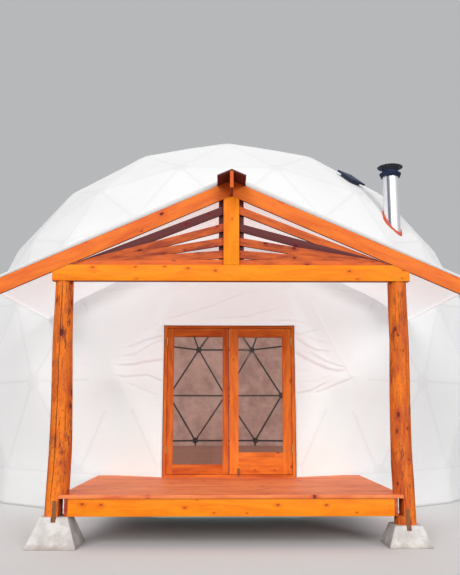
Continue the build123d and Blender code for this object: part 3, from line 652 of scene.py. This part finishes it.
def dome_net():
    """The geodesic net of the cover: an icosahedron cut in four each way, up to its doorway."""
    bm = bmesh.new()
    bmesh.ops.create_icosphere(bm, subdivisions=1, radius=1.0)
    bmesh.ops.subdivide_edges(bm, edges=bm.edges, cuts=NET_CUTS, use_grid_fill=True)
    for v in bm.verts:
        v.co.normalize()
    bmesh.ops.rotate(bm, verts=bm.verts, matrix=Matrix.Rotation(NET_TURN, 3, "Z"))
    bmesh.ops.delete(bm, geom=[v for v in bm.verts if v.co.z < CUT - NEAR_CUT], context="VERTS")
    for v in bm.verts:
        azimuth = math.degrees(math.atan2(v.co.y, v.co.x))
        v.co = foot_at(azimuth) if abs(v.co.z - CUT) < NEAR_CUT else CENTRE + v.co * SPHERE_R
    feet = [foot_at(DOOR_AZIMUTH + side * HALF_STEP) for side in (-1, 1)]
    in_the_way = [vert_near(bm, place) for place in (around(DOOR_AZIMUTH, 0), *feet)]
    bmesh.ops.delete(bm, geom=in_the_way, context="VERTS")
    head, foot, over = {}, {}, {}
    for side, x in ((-1, DOOR_LOW.x), (1, DOOR_HIGH.x)):
        head[side] = bm.verts.new((x, COVER_Y, DOOR_HIGH.z))
        foot[side] = bm.verts.new((x, COVER_Y, FLOOR_Z))
    for side in (-1, 1):
        over[side] = vert_near(bm, around(DOOR_AZIMUTH + side * HALF_STEP, ROW_ABOVE))
        beside = vert_near(bm, around(DOOR_AZIMUTH + side * 2 * HALF_STEP, 0))
        low = vert_near(bm, foot_at(DOOR_AZIMUTH + side * 3 * HALF_STEP))
        bm.faces.new((over[side], beside, head[side]))
        bm.faces.new((beside, foot[side], head[side]))
        bm.faces.new((beside, low, foot[side]))
    bm.faces.new((over[-1], over[1], head[1]))
    bm.faces.new((over[-1], head[1], head[-1]))
    bm.edges.new((foot[-1], foot[1]))
    return bm


# Creases on the front wall: how deep each is, and the places (x, z) that it runs through
CREASES = (
    (0.016, ((-0.93, 2.45), (-1.13, 2.42), (-1.35, 2.35), (-1.52, 2.28))),
    (0.012, ((-0.93, 2.40), (-1.19, 2.30), (-1.36, 2.20), (-1.56, 2.18))),
    (0.018, ((-0.93, 2.12), (-1.19, 2.09), (-1.35, 2.06), (-1.64, 2.06))),
    (0.013, ((-0.93, 1.82), (-1.07, 1.88), (-1.16, 1.91), (-1.48, 1.89), (-1.64, 1.92))),
    (0.007, ((-1.00, 2.64), (-1.24, 2.52))),
    (0.006, ((-0.93, 1.60), (-1.20, 1.71), (-1.48, 1.82))),
    (0.010, ((0.93, 2.47), (1.05, 2.50), (1.34, 2.58))),
    (0.015, ((0.93, 2.44), (1.07, 2.33), (1.23, 2.27), (1.52, 2.25))),
    (0.008, ((1.05, 2.47), (1.24, 2.41), (1.44, 2.36))),
    (0.024, ((0.93, 2.22), (1.08, 2.14), (1.22, 2.07), (1.38, 2.01), (1.53, 1.98), (1.70, 1.99))),
    (0.015, ((1.14, 2.23), (1.37, 2.11), (1.56, 2.05), (1.71, 2.02))),
    (0.015, ((0.95, 1.66), (1.13, 1.69), (1.31, 1.78), (1.39, 1.83))),
    (0.013, ((1.20, 1.67), (1.38, 1.73), (1.54, 1.80), (1.72, 1.86), (1.79, 1.90))),
    (0.006, ((0.93, 1.97), (1.17, 1.97))),
    (0.006, ((0.95, 1.81), (1.23, 1.83), (1.49, 1.93))),
    (0.009, ((-0.89, 2.68), (-0.25, 2.89), (0.37, 3.15))),
    (0.008, ((-0.19, 2.70), (0.25, 2.73), (0.81, 2.89))),
    (0.008, ((0.60, 2.66), (0.85, 2.68), (1.14, 2.64))),
)
# Seams over the tubes there, which stand a little proud and carry a painted highlight
SEAMS = (
    (0.010, ((1.16, 3.06), (1.33, 2.68), (1.55, 2.24), (1.76, 1.91))),
    (0.006, ((2.22, 2.85), (1.81, 2.13), (1.76, 1.91))),
    (0.006, ((1.76, 1.91), (2.35, 1.92))),
)
STEEP = 0.018
GENTLE = 0.065
# How far above a crease its line of painted highlight runs
LIT_ABOVE = 0.034
FAR = 9.0


def nearest(x, z, places):
    """For each point: its distance from the line, its height over it, and how far along it is."""
    gap = np.full(len(x), FAR)
    above = np.zeros(len(x))
    share = np.zeros(len(x))
    lengths = [math.dist(a, b) for a, b in zip(places, places[1:])]
    for i, (start, end) in enumerate(zip(places, places[1:])):
        ux, uz = (end[0] - start[0]) / lengths[i], (end[1] - start[1]) / lengths[i]
        along = np.clip((x - start[0]) * ux + (z - start[1]) * uz, 0.0, lengths[i])
        off_x, off_z = x - start[0] - ux * along, z - start[1] - uz * along
        here = np.hypot(off_x, off_z)
        closer = here < gap
        gap = np.where(closer, here, gap)
        above = np.where(closer, off_z, above)
        share = np.where(closer, (sum(lengths[:i]) + along) / sum(lengths), share)
    return gap, above, share


def creased(points):
    """How far the creases draw the cover in, and how far off their lines of painted shade and painted
    highlight are.
    """
    x, z = points[:, 0], points[:, 2]
    pull = np.zeros(len(x))
    dark = np.full(len(x), FAR)
    lit = np.full(len(x), FAR)
    for depth, places in CREASES:
        gap, above, share = nearest(x, z, places)
        fade = np.minimum(1.0, share / 0.08 + 0.5) * np.minimum(1.0, (1.0 - share) / 0.20 + 0.12)
        pull += depth * fade * np.exp(-gap / np.where(above > 0, STEEP, GENTLE))
        dark = np.minimum(dark, gap / (depth * fade))
        lit = np.minimum(lit, nearest(x, z - LIT_ABOVE, places)[0] / (depth * fade))
    for depth, places in SEAMS:
        gap = nearest(x, z, places)[0]
        pull -= depth * np.exp(-gap / STEEP)
        lit = np.minimum(lit, gap / depth)
    return pull, dark, lit


# How far the rest of the cover leaves its flat triangles, and within what reach
HELD_BY_HUB = 0.30
BROAD_FOLD = 0.005
SMALL_FOLD = 0.002
HUB_PUSH = 0.014
HUB_PUSH_REACH = 0.16
FLOOR_PUSH = 0.014
FLOOR_PUSH_REACH = 0.14
BACKED_BELOW = FLOOR_Z + 0.10


def in_front(point):
    return point.y < FRONT_Y and abs(point.x) < FRONT_X and FRONT_LOW < point.z < FRONT_HIGH


def slack(point, hub_distance):
    """How far the cover stands out of its flat triangle at a point."""
    free = min(1.0, hub_distance / HELD_BY_HUB)
    slanted = Vector((point.x * 1.6 + point.z * 0.9, point.y * 1.6, point.z * 0.6 - point.x * 0.3))
    out = noise.noise(point * 0.75) * BROAD_FOLD * free
    out += (0.5 - abs(noise.noise(slanted * 1.9))) * SMALL_FOLD * free
    out += HUB_PUSH * math.exp(-(hub_distance / HUB_PUSH_REACH) ** 2)
    if point.z < BACKED_BELOW:
        out = max(out, 0.0)
    at_floor = FLOOR_PUSH * math.exp(-((point.z - FLOOR_Z) / FLOOR_PUSH_REACH) ** 2)
    return out + at_floor * (0.7 + noise.noise(point * 2.3))


def relaxed(bm, rounds):
    """Softens the folds over the tubes. The foot and the doorway's edge stay where they are."""
    inner = [v for v in bm.verts if not v.is_boundary and v.co.z > HELD_BELOW]
    for _ in range(rounds):
        bmesh.ops.smooth_vert(bm, verts=inner, factor=0.5, use_axis_x=True, use_axis_y=True, use_axis_z=True)


def thickened(sheet, thickness):
    """Gives a sheet its thickness inward, with its second finish on the inner side."""
    solid = sheet.modifiers.new("thickness", "SOLIDIFY")
    solid.thickness = thickness
    solid.offset = -1
    solid.material_offset = 1
    solid.material_offset_rim = 0


# Painted light: the cover glows all over with no lamp behind it. The glow is brighter on the wall under the
# porch roof, cooler low over the deck, and dimmer at the crown.
white_canvas = canvas("white_canvas", (0.812, 0.813, 0.816), (0.775, 0.760, 0.765), Emission_Strength=0.34)
spot = white_canvas.place()
sideways = white_canvas.axis(spot, "X").math("ABSOLUTE")
back = white_canvas.axis(spot, "Y")
up = white_canvas.axis(spot, "Z")
under_roof = (up + sideways * 0.46).between(4.0, 3.7) * back.between(-2.8, -3.3)
porch = sideways.between(2.7, 1.9) * up.between(1.55, 2.55) * under_roof
over_deck = sideways.between(2.0, 1.4) * up.between(2.4, 1.2) * under_roof
crown = up.between(3.9, 5.0)
outside = white_canvas.mix(crown, (0.32, 0.33, 0.34), (0.23, 0.24, 0.25))
painted_glow = white_canvas.mix(over_deck, outside, (0.26, 0.49, 0.50))
white_canvas.set(Emission_Color=white_canvas.mix(porch, painted_glow, (0.93, 0.98, 1.0)))
# The liner glows in its own colours: painted light for the light that comes through the cover.
liner = Finish("brown_liner", Roughness=0.85, Emission_Strength=0.8)
mottle = liner.cloud(liner.place(), 2.4, 5.0, 0.65)
liner_colour = liner.mix(mottle.between(0.3, 0.7), (0.27, 0.155, 0.125), (0.42, 0.26, 0.22))
liner.set(Base_Color=liner_colour, Emission_Color=liner_colour)
liner.bump(mottle, 0.02)

# The crease layer holds FAR less the distance to the nearest line of painted shade and of painted highlight,
# in depths of that crease. The near_seam layer holds 1 less the distance to the nearest seam, in metres.
bm = dome_net()
crease_layer = bm.verts.layers.float_vector.new("crease")
seam_layer = bm.verts.layers.float.new("near_seam")
foot_line = [e for e in bm.edges if max(v.co.z for v in e.verts) < FLOOR_Z + 0.001]
hubs = kdtree.KDTree(len(bm.verts))
seams_at = []
for i, v in enumerate(bm.verts):
    hubs.insert(v.co, i)
    seams_at.append([tuple(tuple(end.co) for end in e.verts) for e in v.link_edges])
hubs.balance()
grown = bmesh.ops.extrude_edge_only(bm, edges=foot_line)["geom"]
for v in [g for g in grown if isinstance(g, bmesh.types.BMVert)]:
    v.co.z = 0.0
bmesh.ops.recalc_face_normals(bm, faces=bm.faces)
COVER_AREA = sum(f.calc_area() for f in bm.faces)
bmesh.ops.subdivide_edges(bm, edges=bm.edges, cuts=COVER_CUTS, use_grid_fill=True)
for v in bm.verts:
    if v.co.z > FLOOR_Z - 0.001 and not in_front(v.co):
        ends = {pair for _, i, _ in hubs.find_n(v.co, 3) for pair in seams_at[i]}
        off = min((v.co - intersect_point_line(v.co, a, b)[0]).length for a, b in ends)
        v[seam_layer] = 1.0 - min(1.0, off)
relaxed(bm, 1)
near_door = [e for e in bm.edges if all(in_front(v.co) for v in e.verts)]
bmesh.ops.subdivide_edges(bm, edges=near_door, cuts=FRONT_CUTS, use_grid_fill=True)
relaxed(bm, 2)
bm.normal_update()
free = [v for v in bm.verts if not v.is_boundary]
moves = [slack(v.co, hubs.find(v.co)[2]) for v in free]
front = [i for i, v in enumerate(free) if in_front(v.co)]
for i, pull, dark, lit in zip(front, *creased(np.array([free[i].co[:] for i in front]))):
    moves[i] -= pull
    free[i][crease_layer] = (FAR - min(FAR, dark), FAR - min(FAR, lit), 0.0)
for v, move in zip(free, moves):
    v.co += v.normal * move
panels = [f"{part}_cover_{k}" for part in ("crown", "wall") for k in range(1, 6)]
cover = finished(bm, "cover", [white_canvas, liner], HOUSE, [*panels, "cover_skirt"], 80)
thickened(cover, COVER_T)


# Porch cover
# Two sheets of the same canvas, one down each slope, are stretched from the ridge to the eave and back to the
# dome.
# Each is turned down over a lath on the rafter. Its underside glows: painted light for the sun through the
# canvas.

CANOPY_T = 0.004
CANOPY_GRID = 0.09
RIDGE_X = 0.2
LAID_EDGE = 0.02
SAG = 0.012
RIPPLE = 0.006
SLACK_FROM = 0.25
LATH_W = 0.036
LATH_GAP = 0.001
LATH_LOWER = 0.004
EAVE_X = 2.7
EAVE_BACK = 0.008

porch_canvas = canvas("porch_canvas", (0.850, 0.845, 0.845), (0.800, 0.790, 0.790))
# The canopy's underside glows: painted light for the sun coming through the canvas.
underside_painted_glow = canvas("underside_painted_glow", (0.800, 0.815, 0.820), (0.760, 0.765, 0.770),
                       Emission_Color=(0.95, 0.97, 1.0), Emission_Strength=0.44)
for side in ("left", "right"):
    node = f"{side}_canopy"
    low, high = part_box(node)
    bm = solid_of(node)
    lath = bm.copy()
    bm.normal_update()
    spare = [f for f in bm.faces if f.normal.z < -0.1 or f.normal.y > 0.3
             or (abs(f.normal.x) > 0.9 and abs(f.calc_center_median().x) < RIDGE_X)]
    bmesh.ops.delete(bm, geom=spare, context="FACES")
    gridded(bm, CANOPY_GRID, (0, 1))
    for v in bm.verts:
        edge = min(v.co.x - low.x, high.x - v.co.x, v.co.y - low.y)
        if edge > LAID_EDGE:
            span = math.sin(math.pi * min(1.0, (v.co.y - low.y) / (high.y - low.y)))
            ripple = noise.noise(Vector((v.co.x * 0.9, v.co.y * 2.6, 0.0))) * RIPPLE
            v.co.z += (ripple - SAG * span) * min(1.0, edge / SLACK_FROM)
    canopy = finished(bm, f"canopy_{side}", [porch_canvas, underside_painted_glow], HOUSE, [node], 35)
    thickened(canopy, CANOPY_T)

    sliced(lath, (0, low.y + LATH_W, 0), (0, 1, 0), near_side_only=True)
    bmesh.ops.holes_fill(lath, edges=[e for e in lath.edges if e.is_boundary], sides=0)
    bmesh.ops.recalc_face_normals(lath, faces=lath.faces)
    for v in lath.verts:
        v.co.y = max(v.co.y, low.y + CANOPY_T + LATH_GAP)
        if abs(v.co.x) > EAVE_X:
            v.co.x *= 1 - EAVE_BACK / abs(v.co.x)
    lath.normal_update()
    for v in [v for f in lath.faces if f.normal.z > 0.5 for v in f.verts]:
        if not v.tag:
            v.tag = True
            v.co.z -= CANOPY_T + LATH_LOWER
    lay_grain(lath, 41)
    finished(lath, f"lath_{side}", [joist_wood], HOUSE)


# Doors
# A pair of glazed leaves in an oiled frame. Stiles stand the full height with the rails between
# them, the panes sit in beads, and brass hinges carry each leaf at its outer edge.

FRAME_JAMB = 0.048
FRAME_SILL = 0.031
FRAME_HEAD = 0.036
ARRIS = 0.0025
SHADOW_GAP_W = 0.009

door_wood = timber("door_fir", (0.86, 0.225, 0.030), (0.46, 0.070, 0.016), knots=0.22, knot_r=0.008,
                   rough=0.44)


def joinery(node, name, body, seed, own_tone, rails_z, stiles_x, shadow_gap_x, shadow_gap_z):
    """A frame of stiles and rails: split at their joints, so that the grain turns there.

    A narrow strip along its edges at the x and z given last is painted nearly black: painted shadow in the
    gaps there."""
    bm = solid_of(node)
    shade_x = [x + SHADOW_GAP_W * (1 if x < sum(stiles_x) / 2 else -1) for x in shadow_gap_x]
    shade_z = [z - SHADOW_GAP_W for z in shadow_gap_z]
    for z in (*rails_z, *shade_z):
        sliced(bm, (0, 0, z), (0, 0, 1))
    for x in (*stiles_x, *shade_x):
        sliced(bm, (x, 0, 0), (1, 0, 0))
    ease(bm, ARRIS)

    def run(middle):
        between_stiles = stiles_x[0] < middle.x < stiles_x[1]
        beside_glass = rails_z[0] < middle.z < rails_z[1]
        return (1, 0, 0) if between_stiles and not beside_glass else (0, 0, 1)

    lay_grain(bm, seed, run=run, tones=(own_tone,))
    tone_layer = bm.faces.layers.float["tone"]
    for face in bm.faces:
        middle = face.calc_center_median()
        # Painted shadow: faces in those gap strips get the nearly black tone.
        if any(abs(middle.x - x) < SHADOW_GAP_W for x in shadow_gap_x) or any(middle.z > z for z in shade_z):
            face[tone_layer] = PAINTED_SHADE_TONE
    finished(bm, name, [door_wood], body, [node], 35)


joinery("door_frame", "jambs", HOUSE, 5, 0.35,
        rails_z=(DOOR_LOW.z + FRAME_SILL, DOOR_HIGH.z - FRAME_HEAD),
        stiles_x=(DOOR_LOW.x + FRAME_JAMB, DOOR_HIGH.x - FRAME_JAMB),
        shadow_gap_x=(DOOR_LOW.x, DOOR_HIGH.x), shadow_gap_z=(DOOR_HIGH.z,))
for side, seed, own_tone in (("left", 9, 1.00), ("right", 10, 0.10)):
    glass_low, glass_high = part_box(f"{side}_door_glass")
    meeting_edge = (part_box("left_door_leaf")[1].x,) if side == "left" else ()
    joinery(f"{side}_door_leaf", f"{side}_leaf", f"{side}_door", seed, own_tone,
            rails_z=(glass_low.z, glass_high.z), stiles_x=(glass_low.x, glass_high.x),
            shadow_gap_x=meeting_edge, shadow_gap_z=())

pane = Finish("window_glass", Base_Color=(0.96, 0.97, 0.96), IOR=1.45, Transmission_Weight=1.0)
film = pane.cloud(pane.place(), 3.0, 4.0)
pane.set(Roughness=film.between(0.5, 0.8) * 0.05 + 0.01)
brass = Finish("worn_brass", Metallic=1.0)
wear = brass.cloud(brass.place(), 120.0, 3.0)
brass.set(Base_Color=brass.mix(wear, (0.50, 0.33, 0.12), (0.85, 0.65, 0.32)), Roughness=wear * 0.3 + 0.2)
for side in ("left", "right"):
    restyled(f"{side}_door_glass", pane)
    restyled(f"{side}_leaf_knuckles", brass)
restyled("frame_knuckles", brass)
restyled("foot_bolt", strap_metal)


# Flue
# A stainless pipe comes up through a red silicone boot that is bedded on the cover. A black collar
# and rain hat finish it.

PIPE_WALL = 0.004
LEG_R = 0.007
LEG_OUT = 0.010
LEG_COUNT = 4
LEG_TO_LID = 0.040


def turned(profile, centre):
    """Spins a closed outline of (radius, height) points round an upright axis."""
    bm = bmesh.new()
    ring = [bm.verts.new((centre.x + r, centre.y, z)) for r, z in profile]
    edges = [bm.edges.new((a, b)) for a, b in zip(ring, ring[1:] + ring[:1])]
    bmesh.ops.spin(bm, geom=ring + edges, cent=(centre.x, centre.y, 0), axis=(0, 0, 1),
                   angle=math.tau, steps=64, use_merge=True)
    bmesh.ops.remove_doubles(bm, verts=bm.verts, dist=0.00005)
    bmesh.ops.recalc_face_normals(bm, faces=bm.faces)
    return bm


pipe_low, pipe_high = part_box("flue_pipe")
pipe_at = (pipe_low + pipe_high) / 2
PIPE_R = (pipe_high.x - pipe_low.x) / 2
hat_low, hat_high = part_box("flue_hat")
HAT_R = (hat_high.x - hat_low.x) / 2

stainless = Finish("polished_stainless", Metallic=0.55)
from_axis = {0: stainless.place(), 1: pipe_at[:]}
round_pipe = stainless.node("ShaderNodeVectorMath", {"operation": "SUBTRACT"}, from_axis)
brushed = stainless.streaks(round_pipe, 4.0, 4.0, 260.0, 2.0)
sheen = stainless.streaks(round_pipe, 16.0, 16.0, 0.3, 2.0)
over_pipe = stainless.axis(round_pipe, "X") / PIPE_R + sheen * 0.10
# Painted reflections: a broad dark streak and a thin one run down the pipe, fixed on it, and the sheen cloud
# adds soft painted sheen in upright bands.
painted_reflection_streak = (over_pipe + 0.42).math("ABSOLUTE").between(0.24, 0.10)
painted_reflection_line = (over_pipe - 0.72).math("ABSOLUTE").between(0.07, 0.02)
steel = stainless.mix(sheen.between(0.40, 0.65) * 0.5, (0.90, 0.90, 0.92), (0.70, 0.71, 0.75))
steel = stainless.mix(painted_reflection_line * 0.5, steel, (0.30, 0.31, 0.36))
steel = stainless.mix(painted_reflection_streak * 0.92, steel, (0.085, 0.10, 0.14))
stainless.set(Base_Color=steel, Roughness=brushed * 0.10 + 0.30)
outline = [(PIPE_R - PIPE_WALL, pipe_low.z), (PIPE_R, pipe_low.z),
           (PIPE_R, pipe_high.z), (PIPE_R - PIPE_WALL, pipe_high.z)]
finished(turned(outline, pipe_at), "flue_tube", [stainless], HOUSE, ["flue_pipe"], 30)

stove_black = Finish("stove_black", Roughness=0.5, Specular_IOR_Level=0.15)
soot = stove_black.cloud(stove_black.place(), 30.0, 4.0)
stove_black.set(Base_Color=stove_black.mix(soot, (0.008, 0.014, 0.045), (0.022, 0.032, 0.080)))
top = hat_high.z
lid = [(0.0, top), (0.030, top), (0.10, top - 0.018), (HAT_R - 0.005, top - 0.044), (HAT_R, top - 0.047),
       (HAT_R - 0.002, top - 0.051), (HAT_R - 0.014, top - 0.048), (0.10, top - 0.025), (0.0, top - 0.010)]
bm = turned(lid, pipe_at)
ring_z = pipe_high.z
collar = [(PIPE_R + 0.0005, ring_z - 0.062), (0.160, ring_z - 0.062), (0.164, ring_z - 0.058),
          (0.174, ring_z - 0.030), (0.184, ring_z - 0.012), (0.186, ring_z - 0.008), (0.186, ring_z + 0.003),
          (0.183, ring_z + 0.006), (PIPE_R - 0.004, ring_z + 0.006), (PIPE_R - 0.004, ring_z + 0.0005),
          (PIPE_R + 0.0005, ring_z + 0.0005)]
baffle = [(0.136, ring_z + 0.006), (0.140, ring_z + 0.006), (0.140, ring_z + 0.050), (0.134, ring_z + 0.058),
          (0.0, ring_z + 0.060), (0.0, ring_z + 0.056), (0.132, ring_z + 0.054), (0.136, ring_z + 0.048)]
for profile in (collar, baffle):
    extra = turned(profile, pipe_at)
    spare = bpy.data.meshes.new("spare")
    extra.to_mesh(spare)
    extra.free()
    bm.from_mesh(spare)
    bpy.data.meshes.remove(spare)
leg_length = (top - LEG_TO_LID) - ring_z
for number in range(LEG_COUNT):
    turn = math.tau * (number + 0.5) / LEG_COUNT
    leg = pipe_at + Vector((math.cos(turn), math.sin(turn), 0)) * (PIPE_R + LEG_OUT)
    bmesh.ops.create_cone(bm, cap_ends=True, segments=12, radius1=LEG_R, radius2=LEG_R, depth=leg_length,
                          matrix=Matrix.Translation((leg.x, leg.y, ring_z + leg_length / 2)))
finished(bm, "rain_hat", [stove_black], HOUSE, ["flue_hat"], 35)

red_rubber = Finish("red_silicone", Roughness=0.55)
bloom = red_rubber.cloud(red_rubber.place(), 16.0, 4.0)
red_rubber.set(Base_Color=red_rubber.mix(bloom, (0.74, 0.13, 0.055), (0.55, 0.085, 0.045)))
red_rubber.bump(bloom, 0.002)
bm = solid_of("flue_boot")
ease(bm, 0.004, 35)
finished(bm, "silicone_boot", [red_rubber], HOUSE, ["flue_boot"], 40)


# Roof vent
# A dark curb on the cover with a small solar panel on it, in a thin black frame.

curb_black = Finish("vent_curb", Roughness=0.5)
dust = curb_black.cloud(curb_black.place(), 20.0, 3.0)
curb_black.set(Base_Color=curb_black.mix(dust, (0.030, 0.032, 0.040), (0.075, 0.080, 0.095)))
restyled("roof_vent", curb_black)

CELL = 0.130

solar = Finish("solar_cells", Roughness=0.6, Specular_IOR_Level=0.12)
cells = solar.attribute("cells", "Vector")
lines, rims = [], []
for letter in "XY":
    place = solar.axis(cells, letter)
    lines.append((place.math("FRACT") - 0.5).math("ABSOLUTE").between(0.485, 0.495))
    rims.append(place.math("ABSOLUTE").between(1.88, 1.90))
silicon = solar.mix(lines[0].math("MAXIMUM", lines[1]), (0.020, 0.032, 0.070), (0.10, 0.12, 0.15))
solar.set(Base_Color=solar.mix(rims[0].math("MAXIMUM", rims[1]), silicon, (0.03, 0.032, 0.04)))

bm = solid_of("solar_panel")
ease(bm, 0.003, 35)
top_face = max(bm.faces, key=lambda f: f.calc_area() * (1 + f.normal.z))
normal = top_face.normal.copy()
level = Vector((-normal.y, normal.x, 0)).normalized()
uphill = normal.cross(level)
middle = top_face.calc_center_median()
cell_layer = bm.loops.layers.float_vector.new("cells")
for face in bm.faces:
    for loop in face.loops:
        arm = loop.vert.co - middle
        loop[cell_layer] = (arm.dot(level) / CELL, arm.dot(uphill) / CELL, 0.0)
finished(bm, "solar_glass", [solar], HOUSE, ["solar_panel"], 35)


# Studio
# A pale floor under plain soft light, and the camera where the photographer stood: low in front
# of the porch, tilted up.

PHOTO_LONG_SIDE = 575
FOCAL_PIXELS = 709.0
SENSOR = 36.0
PORCH_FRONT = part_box("tie_beam")[0].y
CAMERA_AT = Vector((-0.111, PORCH_FRONT - 7.796, 1.378))
CAMERA_PITCH = 0.1760
CAMERA_YAW = 0.0122
FLOOR_SIZE = 600.0
FLOOR_DROP = 0.002

scene = bpy.context.scene
ground = Finish("pale_floor", Roughness=0.95, Specular_IOR_Level=0.0)
seen = ground.node("ShaderNodeLightPath", {}, {}, "Is Camera Ray")
ground.set(Base_Color=ground.mix(seen, (0.42, 0.41, 0.40), (0.80, 0.80, 0.80)))
bm = bmesh.new()
bmesh.ops.create_grid(bm, x_segments=1, y_segments=1, size=FLOOR_SIZE)
mesh = bpy.data.meshes.new("floor")
bm.to_mesh(mesh)
bm.free()
mesh.materials.append(ground.material)
floor = bpy.data.objects.new("floor", mesh)
floor.location.z = -FLOOR_DROP
scene.collection.objects.link(floor)

world = bpy.data.worlds.new("studio")
scene.world = world
world.use_nodes = True
sky = world.node_tree.nodes["Background"]
sky.inputs["Color"].default_value = (0.96, 0.98, 1.0, 1.0)
sky.inputs["Strength"].default_value = 0.49


def soft_light(name, azimuth, elevation, spread, share, colour):
    """A broad light from far off. Azimuth 0 stands behind the camera and grows to its right."""
    data = bpy.data.lights.new(name, "SUN")
    data.angle = math.radians(spread)
    data.energy = share * math.pi
    data.color = colour
    light = bpy.data.objects.new(name, data)
    light.rotation_euler = (math.radians(90 - elevation), 0, math.radians(azimuth))
    scene.collection.objects.link(light)


soft_light("key", -23, 27, 34, 0.45, (1.0, 0.97, 0.94))
soft_light("low", 29, 11, 18, 0.36, (1.0, 0.99, 0.98))
soft_light("back", 180, 34, 40, 0.12, (0.97, 0.98, 1.0))

lens = bpy.data.cameras.new("camera")
lens.sensor_fit = "AUTO"
lens.sensor_width = SENSOR
lens.lens = FOCAL_PIXELS / PHOTO_LONG_SIDE * SENSOR
camera = bpy.data.objects.new("camera", lens)
camera.location = CAMERA_AT
camera.rotation_euler = (math.pi / 2 + CAMERA_PITCH, 0, -CAMERA_YAW)
scene.collection.objects.link(camera)
scene.camera = camera
scene.view_settings.view_transform = "Standard"
